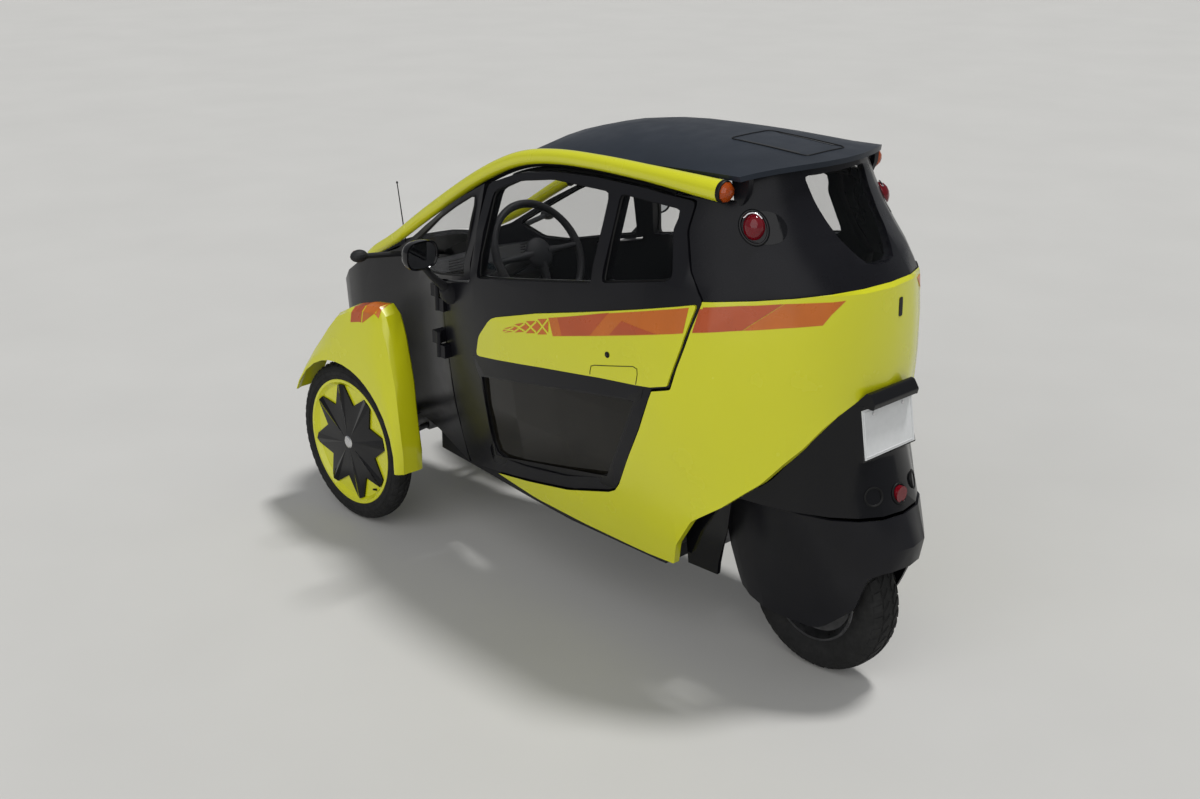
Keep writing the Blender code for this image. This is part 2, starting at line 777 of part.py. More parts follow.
def build_rails():
    """Yellow rails from the cowl to the rear of the roof, each closed by a round lamp."""
    for side, name in ((1, "left"), (-1, "right")):
        curve = bpy.data.curves.new(f"roof_rail_{name}", "CURVE")
        curve.dimensions = "3D"
        curve.bevel_depth = 1.0
        curve.bevel_resolution = 2
        curve.use_fill_caps = True
        curve.render_resolution_u = 0
        spline = curve.splines.new("POLY")
        start = RAIL_STATIONS[0][0]
        places = [rail_place(start + (RAIL_SQUARE_Y - start) * k / RAIL_STEPS) for k in range(RAIL_STEPS + 1)]
        places.append((*places[-1][:1], RAIL_END_Y, *places[-1][2:]))
        spline.points.add(len(places) - 1)
        for point, (x, y, z, radius) in zip(spline.points, places):
            point.co = (side * x, y, z, 1.0)
            point.radius = radius
        rail = bpy.data.objects.new(f"roof_rail_{name}", curve)
        PARTS.objects.link(rail)
        finish(rail, YELLOW)
        x, y, z, radius = rail_place(RAIL_SQUARE_Y)
        lamp_start = RAIL_END_Y + SEAT_GAP
        rod(f"rail_lamp_{name}", (side * x, lamp_start, z), (side * x, lamp_start + LAMP_LENGTH, z),
            radius - 0.001, AMBER, sides=20, radius_end=radius - 0.006)


def crown_point(y, share, lower=0.0):
    """Point of the windscreen or roof, this share of the way from the middle to the left edge."""
    x, z, radius = (blend(RAIL_STATIONS, min(y, RAIL_END_Y), c) for c in (1, 2, 3))
    lift, rise, power, outwards = (blend(CROWN, y, c) for c in (1, 2, 3, 4))
    edge = x - radius - RAIL_SEAT + outwards
    return Vector((edge * share, y, z + lift + rise * (1 - min(abs(share), 1.0)**power) - lower))


def roof_rows(lower=0.0, past=1.0):
    """Rows of the roof panel from the windscreen to its bowed rear lip, or past its edges."""
    start = SCREEN_TOP_Y - SEAM_TRIM
    rows = []
    for k in range(ROOF_STEPS + 1):
        row = []
        for i in range(-6, 7):
            share = sin(pi / 2 * i / 6)
            lip = ROOF_REAR_Y - ROOF_BOW * share**2
            row.append(crown_point(start + (lip - start) * past * k / ROOF_STEPS, share, lower))
        if past > 1.0:
            row = [row[0] - Vector((0.2, 0, 0))] + row + [row[-1] + Vector((0.2, 0, 0))]
        rows.append(row)
    return rows


def build_top():
    """Windscreen and roof between the rails."""
    rows = []
    for k in range(SCREEN_STEPS + 1):
        t = k / SCREEN_STEPS
        y = SCREEN_FOOT_Y + (SCREEN_TOP_Y + SEAM_TRIM - SCREEN_FOOT_Y) * t
        row = [crown_point(y, i / 5) for i in range(-5, 6)]
        for i, point in enumerate(row):
            point.y -= SCREEN_BULGE * (1 - t) * (1 - (i / 5 - 1) ** 2)
        rows.append(row)
    screen = grid("windscreen", rows, GLASS, PARTS)
    thicken(screen, GLASS_WALL)
    behind = box("screen_trim", (-1, SCREEN_TOP_Y - SEAT_GAP, 1), (1, SCREEN_TOP_Y + 0.1, 2), DARK, CUTTERS)
    combine(screen, behind, "DIFFERENCE")
    roof = thicken(grid("roof_panel", roof_rows(), DARK, PARTS), ROOF_WALL)
    ahead = box("roof_trim", (-1, SCREEN_TOP_Y - 0.1, 1), (1, SCREEN_TOP_Y, 2), DARK, CUTTERS)
    combine(roof, ahead, "DIFFERENCE")


def build_doors():
    """Doors: dark frame, yellow band, three panes and a mirror on each."""
    frame = thicken(side_patch("door_left", *DOOR_PATCH, DARK), DOOR_WALL)
    combine(frame, prism("door_shape", rounded(DOOR_OUTLINE), "X", 0.0, 1.0), "INTERSECT")
    windows = {"front": FRONT_WINDOW, "rear": REAR_WINDOW, "lower": LOWER_WINDOW}
    for name, outline in windows.items():
        combine(frame, prism(f"window_cut_{name}", rounded(outline), "X", 0.0, 1.0), "DIFFERENCE")
    for level in HINGE_LEVELS:
        leaf = box(f"door_leaf_{level}", (HINGE_X - 0.042, HINGE_Y + 0.004, level - HINGE_HEIGHT),
                   (HINGE_X + 0.002, HINGE_Y + 0.030, level), DARK, CUTTERS)
        barrel = rod(f"door_barrel_{level}", (HINGE_X, HINGE_Y, level - HINGE_HEIGHT),
                     (HINGE_X, HINGE_Y, level), HINGE_RADIUS, DARK, CUTTERS, 12)
        combine(frame, leaf, "UNION")
        combine(frame, barrel, "UNION")
    mirrored(frame, "door_right")
    for name, outline in windows.items():
        glass = side_patch(f"door_glass_{name}_left", *DOOR_PATCH, GLASS, -GLASS_DEPTH, 6, 7)
        thicken(glass, GLASS_WALL)
        pane = rounded(grown(outline, -SEAT_GAP))
        combine(glass, prism(f"pane_{name}", pane, "X", 0.0, 1.0), "INTERSECT")
        mirrored(glass, f"door_glass_{name}_right")
    band = side_patch("door_band_left", *DOOR_PATCH, YELLOW, SEAT_GAP)
    thicken(band, PROUD - SEAT_GAP, inwards=False)
    combine(band, prism("band_shape", rounded(BAND_OUTLINE), "X", 0.0, 1.0), "INTERSECT")
    mirrored(band, "door_band_right")
    base = Vector((0.352, -0.296, 0.905))
    head = Vector((0.489, -0.275, 1.050))
    half = Vector(MIRROR_SIZE) / 2
    mirror = box("mirror_left", head - half, head + half, DARK)
    soften = mirror.modifiers.new("soft_edges", "BEVEL")
    soften.width = MIRROR_EDGE
    soften.segments = 2
    arm = rod("mirror_arm", base, head + Vector((-0.02, 0.0, -0.02)), 0.014, DARK, CUTTERS, 10, 0.009)
    foot = box("mirror_foot", base + Vector((-0.0, -0.035, -0.022)), base + Vector((0.016, 0.035, 0.012)),
               DARK, CUTTERS)
    combine(mirror, arm, "UNION")
    combine(mirror, foot, "UNION")
    skin = side_patch("mirror_seat", *DOOR_PATCH, DARK, SEAT_GAP)
    thicken(skin, 0.05)
    combine(mirror, skin, "DIFFERENCE")
    mirrored(mirror, "mirror_right")


def ring_rows(levels, proud, side_stations, turns=7):
    """Rows of the whole body outline, both sides, from low to high."""
    rows = []
    for z in levels:
        width = blend(BODY_LEVELS, z, 1) + proud
        reach = blend(BODY_LEVELS, z, 2) + proud
        power = blend(BODY_LEVELS, z, 3)
        side = [Vector((body_half_width(y, z, proud), y, z)) for y in side_stations]
        for k in range(turns + 1):
            angle = pi / 2 * k / turns
            x = width * max(cos(angle), 0.0) ** (2 / power)
            side.append(Vector((x, TAIL_START + (reach - TAIL_START) * sin(angle) ** (2 / power), z)))
        side[-1].x = 0.0
        rows.append(both_sides(side))
    return rows


def tail_rows():
    """Rows of the yellow tail, which stands proud of the dark upper shell."""
    levels = [0.27 + (1.25 - 0.27) * k / 9 for k in range(10)]
    return ring_rows(levels, PROUD, [-0.20, 0.00, 0.20, 0.38])


def build_tail():
    """Yellow tail with its side skirts, and the dark upper shell with the rear window."""
    tail = thicken(grid("tail_shell", tail_rows(), YELLOW, PARTS), BODY_WALL)
    combine(tail, prism("tail_shape", rounded(TAIL_OUTLINE), "X", -1, 1), "INTERSECT")
    combine(tail, prism("tail_door_cut", door_opening(), "X", -1, 1), "DIFFERENCE")
    levels = [1.05 + (1.455 - 1.05) * k / 8 for k in range(9)]
    rows = ring_rows(levels, 0.0, [0.40])
    upper = thicken(grid("rear_upper_shell", rows, DARK, PARTS), BODY_WALL)
    combine(upper, prism("upper_shape", rounded(UPPER_OUTLINE), "X", -1, 1), "INTERSECT")
    combine(upper, prism("upper_door_cut", door_opening(), "X", -1, 1), "DIFFERENCE")
    combine(upper, prism("rear_opening", rounded(REAR_OPENING), "Y", 0.55, 1.3), "DIFFERENCE")
    room = grid("roof_room", roof_rows(ROOF_WALL + 2 * SEAT_GAP, 1.1), DARK, CUTTERS)
    combine(upper, thicken(room, 0.2, inwards=False), "DIFFERENCE")
    glass = grid("rear_glass", ring_rows(levels, -0.008, [0.40]), GLASS, PARTS)
    thicken(glass, GLASS_WALL)
    pane = rounded(grown(REAR_OPENING, -SEAT_GAP))
    combine(glass, prism("rear_pane", pane, "Y", 0.60, 1.3), "INTERSECT")
    for side, name in ((1, "left"), (-1, "right")):
        place = (side * TAIL_LAMP[0], *TAIL_LAMP[1:])
        lamp = ball(f"tail_lamp_{name}", place, TAIL_LAMP_RADII, RED, PARTS, 8, 12)
        seat = grid(f"lamp_seat_{name}", ring_rows(levels, SEAT_GAP, [0.40]), DARK, CUTTERS)
        thicken(seat, 0.08)
        combine(lamp, seat, "DIFFERENCE")


def fairing_rows(proud):
    """Rows of the rear fairing from low to high."""
    rows = []
    for z, width, reach in FAIRING_LEVELS:
        width += proud
        reach += proud
        half = []
        for i in range(8):
            angle = pi / 2 * i / 7
            x = width * max(cos(angle), 0.0) ** 0.9
            half.append(Vector((x, FAIRING_START_Y + (reach - FAIRING_START_Y) * sin(angle) ** 0.9, z)))
        half[-1].x = 0.0
        rows.append(both_sides(half))
    return rows


def build_fairing():
    """Dark fairing under the tail, with its plate hood, plate and reflector."""
    fairing = thicken(grid("rear_fairing", fairing_rows(0.0), DARK, PARTS), FAIRING_WALL)
    combine(fairing, prism("fairing_foot", rounded(FAIRING_FOOT), "X", -1, 1), "DIFFERENCE")
    turning = rod("turning_room", (0, STEER_AXIS_Y, 0.200), (0, STEER_AXIS_Y, 0.552), COVER_SWEEP, DARK,
                  CUTTERS, 64)
    combine(fairing, turning, "DIFFERENCE")
    up = (PLATE_TOP - PLATE_FOOT).normalized()
    out = Vector((up.y, -up.x))
    foot, top = PLATE_FOOT - up * 2 * PLATE_MARGIN, PLATE_TOP + up * 4 * PLATE_MARGIN
    back = [Vector((PLATE_BASE_Y, top.y)), Vector((PLATE_BASE_Y, foot.y))]
    half = PLATE_HALF + PLATE_BORDER
    combine(fairing, prism("plate_base", [foot, top] + back, "X", -half, half), "UNION")
    half -= SEAT_GAP * 3
    combine(fairing, prism("plate_hood", rounded(PLATE_HOOD), "X", -half, half), "UNION")
    foot, top = PLATE_FOOT - up * PLATE_MARGIN, PLATE_TOP + up * PLATE_MARGIN
    behind = -out * SEAT_GAP
    pocket = [foot + behind, top + behind, top + out * 0.2, foot + out * 0.2]
    half = PLATE_HALF + PLATE_MARGIN
    combine(fairing, prism("plate_pocket", pocket, "X", -half, half), "DIFFERENCE")
    above = prism("fairing_cut", rounded(grown(TAIL_OUTLINE, SEAT_GAP)), "X", -1, 1)
    combine(above, box("liner_room", (-2, -1, -1), (2, 0.880, LINER_TOP_Z), DARK, CUTTERS), "DIFFERENCE")
    combine(fairing, above, "DIFFERENCE")
    face = out * PLATE_THICKNESS
    prism("number_plate", [PLATE_FOOT, PLATE_TOP, PLATE_TOP + face, PLATE_FOOT + face], "X", -PLATE_HALF,
          PLATE_HALF, WHITE, PARTS)
    reach = blend(FAIRING_LEVELS, REFLECTOR_Z, 2)
    reflector = rod("rear_reflector", (0.0, reach - 0.020, REFLECTOR_Z), (0.0, reach + 0.005, REFLECTOR_Z),
                    REFLECTOR_RADIUS, RED, sides=20)
    seat = thicken(grid("reflector_seat", fairing_rows(SEAT_GAP), DARK, CUTTERS), 0.08)
    combine(reflector, seat, "DIFFERENCE")


def build_rear_end():
    """Steered fork and cover, wheel and tyre, and the frame that carries the fork."""
    axle = (0.0, REAR_AXLE_Y, REAR_TYRE_RADIUS)
    leg_x = REAR_TYRE_WIDTH / 2 + FORK_SIDE_ROOM + FORK_LEG_RADIUS
    fork = box("rear_fork", (-leg_x - 0.009, STEER_AXIS_Y - 0.03, YOKE_Z - YOKE_THICKNESS),
               (leg_x + 0.009, STEER_AXIS_Y + 0.03, YOKE_Z), STEEL)
    stem = rod("fork_stem", (0, STEER_AXIS_Y, YOKE_Z - 0.010), (0, STEER_AXIS_Y, STEM_TOP_Z), STEM_RADIUS,
               STEEL, CUTTERS, 20)
    combine(fork, stem, "UNION")
    for side in (1, -1):
        leg = rod(f"fork_leg_{side}", (side * leg_x, STEER_AXIS_Y, YOKE_Z - 0.010),
                  (side * leg_x, REAR_AXLE_Y, REAR_TYRE_RADIUS - 0.02), FORK_LEG_RADIUS, STEEL, CUTTERS, 12)
        combine(fork, leg, "UNION")
    pin = rod("fork_axle", (-leg_x - 0.010, axle[1], axle[2]), (leg_x + 0.010, axle[1], axle[2]),
              AXLE_RADIUS, STEEL, CUTTERS, 20)
    combine(fork, pin, "UNION")
    rows = []
    for z, width, front, rear in COVER_LEVELS:
        row = []
        middle, reach = STEER_AXIS_Y + (front + rear) / 2, (rear - front) / 2
        for k in range(20):
            angle = 2 * pi * k / 20
            c, s = cos(angle), sin(angle)
            x = width * abs(c) ** 0.9 * (1 if c >= 0 else -1)
            y = middle + reach * abs(s) ** 0.9 * (1 if s >= 0 else -1)
            row.append(Vector((x, y, z)))
        rows.append(row)
    cover = thicken(grid("rear_wheel_cover", rows, DARK, PARTS, wrap=True), COVER_WALL)
    combine(cover, prism("cover_edge", rounded(COVER_EDGE), "X", -1, 1), "DIFFERENCE")
    half = blend(COVER_LEVELS, YOKE_Z, 1) - COVER_WALL / 2
    bridge = box("cover_bridge", (-half, STEER_AXIS_Y - 0.04, YOKE_Z + SEAT_GAP),
                 (half, STEER_AXIS_Y + 0.04, YOKE_Z + 0.014), DARK, CUTTERS)
    combine(cover, bridge, "UNION")
    hole = rod("cover_hole", (0, STEER_AXIS_Y, YOKE_Z - 0.010), (0, STEER_AXIS_Y, STEM_TOP_Z),
               STEM_RADIUS + HUB_CLEARANCE, DARK, CUTTERS, 20)
    combine(cover, hole, "DIFFERENCE")
    half = REAR_TYRE_WIDTH / 2
    radius = REAR_TYRE_RADIUS
    tyre = [(-half + 0.012, REAR_RIM_RADIUS), (-half, radius - 0.063), (-half + 0.004, radius - 0.037),
            (-0.036, radius - 0.013), (-0.012, radius), (0.012, radius), (0.036, radius - 0.013),
            (half - 0.004, radius - 0.037), (half, radius - 0.063), (half - 0.012, REAR_RIM_RADIUS)]
    turned("rear_tyre", tyre, axle, RUBBER)
    rim_r = REAR_RIM_RADIUS - SEAT_GAP
    bore = AXLE_RADIUS + HUB_CLEARANCE
    rim = [(-0.050, rim_r), (-0.050, 0.120), (-0.016, 0.108), (-0.012, 0.040), (-0.052, 0.030),
           (-0.052, bore), (0.052, bore), (0.052, 0.030), (0.012, 0.040), (0.016, 0.108),
           (0.050, 0.120), (0.050, rim_r)]
    turned("rear_wheel", rim, axle, STEEL)
    end_y, top_z = STEER_AXIS_Y + 0.042, FRAME_ARM_Z + FRAME_DEPTH
    side = [(TAIL_START, FLOOR_Z), (TAIL_START + 0.030, FLOOR_Z), (TAIL_START + 0.040, FRAME_ARM_Z),
            (end_y, FRAME_ARM_Z), (end_y, top_z - 0.020), (end_y - 0.100, top_z), (TAIL_START, top_z)]
    frame = prism("rear_subframe", side, "X", -0.05, 0.05, STEEL, PARTS)
    head = rod("steering_head", (0, STEER_AXIS_Y, YOKE_Z + 0.035), (0, STEER_AXIS_Y, STEM_TOP_Z + 0.02),
               0.034, STEEL, CUTTERS, 20)
    combine(frame, head, "UNION")
    levels = [0.300, 0.380, 0.460, 0.540, 0.618]
    half = [(body_half_width(TAIL_START, z) - BODY_WALL / 2, z) for z in levels]
    outline = half + [(-x, z) for x, z in reversed(half)]
    combine(frame, prism("bulkhead", outline, "Y", TAIL_START, TAIL_START + 0.020), "UNION")
    skin = thicken(grid("bulkhead_trim", tail_rows(), STEEL, CUTTERS), BODY_WALL + SEAT_GAP)
    combine(frame, skin, "DIFFERENCE")
    well = rod("stem_bore", (0, STEER_AXIS_Y, 0.50), (0, STEER_AXIS_Y, 0.70), STEM_RADIUS + HUB_CLEARANCE,
               STEEL, CUTTERS, 20)
    combine(frame, well, "DIFFERENCE")


def build_front_wheels():
    """Tyres, yellow wheels with a dark star, knuckles, fenders and the suspension between them."""
    half = FRONT_TYRE_WIDTH / 2
    radius = FRONT_TYRE_RADIUS
    tyre = [(-half + 0.008, FRONT_RIM_RADIUS), (-half, radius - 0.039), (-half + 0.004, radius - 0.022),
            (-0.022, radius - 0.007), (-0.008, radius - 0.0005), (0.008, radius - 0.0005),
            (0.022, radius - 0.007), (half - 0.004, radius - 0.022), (half, radius - 0.039),
            (half - 0.008, FRONT_RIM_RADIUS)]
    rim_r = FRONT_RIM_RADIUS - SEAT_GAP
    bore = AXLE_RADIUS + HUB_CLEARANCE
    face = 0.030
    rim = [(-0.032, rim_r), (-0.032, 0.204), (0.018, 0.196), (0.018, 0.060), (-0.034, 0.050), (-0.034, bore),
           (face - 0.004, bore), (face - 0.004, 0.060), (face, 0.070), (face, rim_r)]
    centre = Vector((TRACK_HALF, FRONT_AXLE_Y, FRONT_TYRE_RADIUS))
    left = turned("front_tyre_left", tyre, centre, RUBBER)
    mirrored(left, "front_tyre_right")
    wheel = turned("front_wheel_left", rim, centre, YELLOW)
    star = []
    for k in range(STAR_POINTS):
        middle = 2 * pi * k / STAR_POINTS + pi / 2
        for offset, radius in ((-0.30, 0.105), (-0.115, 0.178), (0.115, 0.178), (0.30, 0.105)):
            star.append((centre.y + radius * cos(middle + offset), centre.z + radius * sin(middle + offset)))
    plate = prism("star_plate", star, "X", centre.x + face - 0.006, centre.x + face + 0.006)
    combine(wheel, plate, "UNION")
    mirrored(wheel, "front_wheel_right")
    inner = KNUCKLE_X
    knuckle = box("knuckle_left", (inner, centre.y - 0.03, centre.z - 0.070),
                  (inner + 0.022, centre.y + 0.03, centre.z + 0.125), STEEL)
    spindle = rod("spindle", (inner + 0.01, centre.y, centre.z), centre + Vector((face - 0.007, 0, 0)),
                  AXLE_RADIUS, STEEL, CUTTERS, 20)
    combine(knuckle, spindle, "UNION")
    stay = rod("fender_stay", (inner + 0.011, centre.y, centre.z + 0.105), centre + Vector(STAY_END),
               STAY_RADIUS, STEEL, CUTTERS, 10)
    combine(knuckle, stay, "UNION")
    rows = []
    for angle, crown in FENDER_CROWN:
        row = []
        for x, share, drop in FENDER_SECTION:
            r = FENDER_ARCH + (crown - FENDER_ARCH) * share - drop * min((crown - FENDER_ARCH) / 0.05, 1)
            a = radians(angle)
            row.append(Vector((x, FRONT_AXLE_Y - r * cos(a), FRONT_TYRE_RADIUS + r * sin(a))))
        rows.append(row)
    fender = thicken(grid("front_fender_left", rows, YELLOW, PARTS), FENDER_WALL)
    room = thicken(grid("fender_room", rows, YELLOW, CUTTERS), FENDER_WALL + SEAT_GAP + STAY_LENGTH)
    room.modifiers["wall"].offset = 1 - 2 * (FENDER_WALL + SEAT_GAP) / room.modifiers["wall"].thickness
    mirrored(fender, "front_fender_right")
    combine(knuckle, room, "DIFFERENCE")
    mirrored(knuckle, "knuckle_right")
    low, ahead, behind = CROSS_FOOT_Z, FRONT_AXLE_Y - 0.07, FRONT_AXLE_Y + 0.07
    top = [(y, nose_floor(y) - SEAT_GAP) for y in (behind, -0.82, ahead)]
    cross = prism("front_suspension", [(ahead, low), (behind, low)] + top, "X", -0.12, 0.12, STEEL, PARTS)
    for side in (1, -1):
        for level, root, spread in ARMS:
            for end in (-1, 1):
                arm = rod(f"arm_{side}_{level}_{end}", (side * 0.10, FRONT_AXLE_Y + end * spread, root),
                          (side * (inner - SEAT_GAP - 0.001), FRONT_AXLE_Y + end * 0.012, centre.z + level),
                          0.010, STEEL, CUTTERS, 10)
                combine(cross, arm, "UNION")
    limit = box("arm_trim", (inner - SEAT_GAP, -1.2, 0.1), (0.6, -0.4, 0.6), STEEL, CUTTERS)
    combine(cross, limit, "DIFFERENCE")
    limit = box("arm_trim_right", (-0.6, -1.2, 0.1), (-inner + SEAT_GAP, -0.4, 0.6), STEEL, CUTTERS)
    combine(cross, limit, "DIFFERENCE")


def build_lamps():
    """Headlamps on the nose and indicators on stalks."""
    for side, name in ((1, "left"), (-1, "right")):
        lamp = ball(f"headlamp_{name}", (side * HEADLAMP[0], *HEADLAMP[1:]), HEADLAMP_RADII, CLEAR)
        rings = [nose_ring(y, -SEAT_GAP) for y in NOSE_STATIONS[:7]]
        seat = grid(f"nose_seat_{name}", rings, DARK, CUTTERS, wrap=True, caps=True)
        combine(lamp, seat, "DIFFERENCE")
        pod = ball(f"indicator_{name}", (side * 0.400, -0.702, 0.940), (0.030, 0.024, 0.020), DARK)
        stalk = rod(f"stalk_{name}", (side * 0.236, -0.672, 0.925), (side * 0.39, -0.700, 0.938), 0.009, DARK,
                    CUTTERS, 10)
        combine(pod, stalk, "UNION")
        rings = [nose_ring(y, -SEAT_GAP) for y in NOSE_STATIONS[4:10]]
        seat = grid(f"stalk_seat_{name}", rings, DARK, CUTTERS, wrap=True, caps=True)
        combine(pod, seat, "DIFFERENCE")


def build_cabin():
    """Floor tub, battery, seats, dashboard and steering wheel."""
    plan = [(-0.16, -0.62), (0.16, -0.62), (0.186, -0.36), (0.215, -0.10), (0.232, 0.10), (0.232, 0.4997),
            (-0.232, 0.4997), (-0.232, 0.10), (-0.215, -0.10), (-0.186, -0.36)]
    tub = prism("floor_tub", plan, "Z", FLOOR_Z, SILL_Z + 0.04, PLASTIC, PARTS)
    inner = [(-0.13, -0.58), (0.13, -0.58), (0.160, -0.34), (0.190, -0.10), (0.207, 0.10), (0.207, 0.47),
             (-0.207, 0.47), (-0.207, 0.10), (-0.190, -0.10), (-0.160, -0.34)]
    combine(tub, prism("tub_hollow", inner, "Z", FLOOR_Z + FLOOR_THICKNESS, SILL_Z + 0.2), "DIFFERENCE")
    under_nose = [(y, nose_floor(y) - SEAT_GAP) for y in (-0.699, -0.58, -0.47, -0.38, TUB_STEP_Y)]
    over_tub = under_nose + [(TUB_STEP_Y, SILL_Z), (0.6, SILL_Z), (0.6, 0.5), (-0.699, 0.5)]
    combine(tub, prism("tub_top", over_tub, "X", -0.3, 0.3), "DIFFERENCE")
    box("battery", (-0.200, 0.02, FLOOR_Z + FLOOR_THICKNESS + SEAT_GAP), (0.200, 0.46, BATTERY_TOP_Z), STEEL)
    seat_foot = BATTERY_TOP_Z + SEAT_GAP
    seat_side = [(0.02, seat_foot), (0.31, seat_foot), (0.44, 0.90), (0.41, 0.95), (0.36, 0.94),
                 (0.235, 0.50), (0.02, 0.50), (-0.04, 0.48)]
    seat = prism("driver_seat", seat_side, "X", -0.175, 0.175, FABRIC, PARTS)
    soften = seat.modifiers.new("soft_edges", "BEVEL")
    soften.width = 0.018
    soften.segments = 2
    start, foot = TAIL_START + 0.020 + SEAT_GAP, FRAME_ARM_Z + FRAME_DEPTH + SEAT_GAP
    bench = [(start, foot), (0.80, foot), (0.80, foot + 0.11), (0.60, foot + 0.11), (start, foot + 0.09)]
    prism("rear_seat", bench, "X", -0.19, 0.19, FABRIC, PARTS)
    dash = prism("dashboard", [(-0.80, 0.74), (-0.60, 0.74), (-0.52, 0.82), (-0.53, 0.88), (-0.60, 0.895),
                               (-0.78, 0.845)], "X", -0.30, 0.30, PLASTIC, PARTS)
    room = [nose_ring(y, BODY_WALL + SEAT_GAP) for y in NOSE_HOLLOW_STATIONS]
    combine(dash, grid("dash_room", room, PLASTIC, CUTTERS, wrap=True, caps=True), "INTERSECT")
    column = rod("steering_column", WHEEL_HUB - WHEEL_AXIS * COLUMN_LENGTH, WHEEL_HUB - WHEEL_AXIS * 0.012,
                 COLUMN_RADIUS, PLASTIC, CUTTERS, 14)
    combine(dash, column, "UNION")
    wheel = hoop("steering_wheel", WHEEL_HUB, WHEEL_AXIS, WHEEL_RADIUS, WHEEL_RIM, PLASTIC)
    hub = rod("wheel_hub", WHEEL_HUB - WHEEL_AXIS * 0.0117, WHEEL_HUB + WHEEL_AXIS * 0.022, 0.045, PLASTIC,
              CUTTERS, 18)
    combine(wheel, hub, "UNION")
    turn = Vector((0, 0, 1)).rotation_difference(WHEEL_AXIS).to_matrix()
    for angle in (0, 90, 180):
        reach = Vector((cos(radians(angle)), sin(radians(angle)), 0)) * WHEEL_RADIUS
        spoke = rod(f"spoke_{angle}", WHEEL_HUB, WHEEL_HUB + turn @ reach, SPOKE_RADIUS, PLASTIC, CUTTERS, 7)
        combine(wheel, spoke, "UNION")


def carry(name, pivot, pieces):
    """Parent a moving body's pieces to an empty on its joint's axis."""
    empty = bpy.data.objects.new(name, None)
    empty.location = pivot
    PARTS.objects.link(empty)
    bpy.context.view_layer.update()
    for piece in pieces:
        obj = bpy.data.objects[piece]
        obj.parent = empty
        obj.matrix_parent_inverse = empty.matrix_world.inverted()


def main():
    """Build the car."""
    build_nose()
    build_rails()
    build_top()
    build_doors()
    build_tail()
    build_fairing()
    build_rear_end()
    build_front_wheels()
    build_lamps()
    build_cabin()
    for side, name in ((1, "left"), (-1, "right")):
        door = [f"door_{name}", f"door_band_{name}", f"mirror_{name}"]
        door += [f"door_glass_{pane}_{name}" for pane in ("front", "rear", "lower")]
        carry(f"door_{name}_hinge", (side * HINGE_X, HINGE_Y, HINGE_LEVELS[0]), door)
        carry(f"front_wheel_{name}_axle", (side * TRACK_HALF, FRONT_AXLE_Y, FRONT_TYRE_RADIUS),
              [f"front_tyre_{name}", f"front_wheel_{name}"])
    carry("rear_wheel_axle", (0, REAR_AXLE_Y, REAR_TYRE_RADIUS), ["rear_tyre", "rear_wheel"])
    carry("rear_steer_axis", (0, STEER_AXIS_Y, 0.5), ["rear_fork", "rear_wheel_cover"])
    carry("steering_wheel_axis", WHEEL_HUB, ["steering_wheel"])


clear_scene()
PARTS = collection("three_wheeled_car")
CUTTERS = collection("cutters")
main()
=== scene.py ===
"""Looks of a small three wheeled car: paint, trim, tyres, glass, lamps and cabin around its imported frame.

The car faces -Y, its left side is +X and the ground is z = 0. All sizes are in metres.
"""

import json
import logging
import math
from collections.abc import Callable, Iterable, Sequence
from dataclasses import dataclass
from enum import Enum

import bmesh
import bpy
from mathutils import Matrix, Vector
from mathutils.bvhtree import BVHTree

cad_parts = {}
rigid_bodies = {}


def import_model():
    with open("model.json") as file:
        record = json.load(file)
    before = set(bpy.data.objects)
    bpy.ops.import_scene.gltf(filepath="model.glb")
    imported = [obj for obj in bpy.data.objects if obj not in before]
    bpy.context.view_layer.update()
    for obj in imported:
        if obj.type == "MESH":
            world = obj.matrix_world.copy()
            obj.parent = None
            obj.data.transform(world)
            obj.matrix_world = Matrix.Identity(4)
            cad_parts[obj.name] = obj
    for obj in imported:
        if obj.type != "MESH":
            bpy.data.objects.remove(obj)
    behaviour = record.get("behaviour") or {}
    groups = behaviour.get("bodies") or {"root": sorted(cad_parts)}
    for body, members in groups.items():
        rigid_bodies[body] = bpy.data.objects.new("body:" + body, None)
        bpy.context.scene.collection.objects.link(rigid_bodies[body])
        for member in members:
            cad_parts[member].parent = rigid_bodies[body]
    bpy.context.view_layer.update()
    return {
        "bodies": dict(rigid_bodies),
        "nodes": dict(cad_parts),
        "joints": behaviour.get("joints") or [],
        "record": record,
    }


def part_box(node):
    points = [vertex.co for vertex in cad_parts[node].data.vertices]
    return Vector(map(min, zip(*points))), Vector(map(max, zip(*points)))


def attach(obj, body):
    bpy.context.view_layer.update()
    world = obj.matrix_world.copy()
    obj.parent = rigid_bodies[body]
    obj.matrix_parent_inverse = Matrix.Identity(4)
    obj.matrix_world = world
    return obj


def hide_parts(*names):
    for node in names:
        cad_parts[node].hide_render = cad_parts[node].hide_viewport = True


log = logging.getLogger("three_wheeled_car")

Point = tuple[float, float, float]
Flat = tuple[float, float]
Profile = tuple[Flat, ...]
Colour = tuple[float, float, float]

TURN = 2 * math.pi
WELD = 1e-7
NODE_WELD = 1e-5
ALONG_X: Point = (1.0, 0.0, 0.0)


class Body(Enum):
    """Moving bodies of the frame."""

    CAR = "root"
    LEFT_WHEEL = "front_left_wheel"
    RIGHT_WHEEL = "front_right_wheel"
    REAR_STEER = "rear_steer"
    REAR_WHEEL = "rear_wheel"
    LEFT_DOOR = "left_door"
    RIGHT_DOOR = "right_door"
    STEERING = "steering"


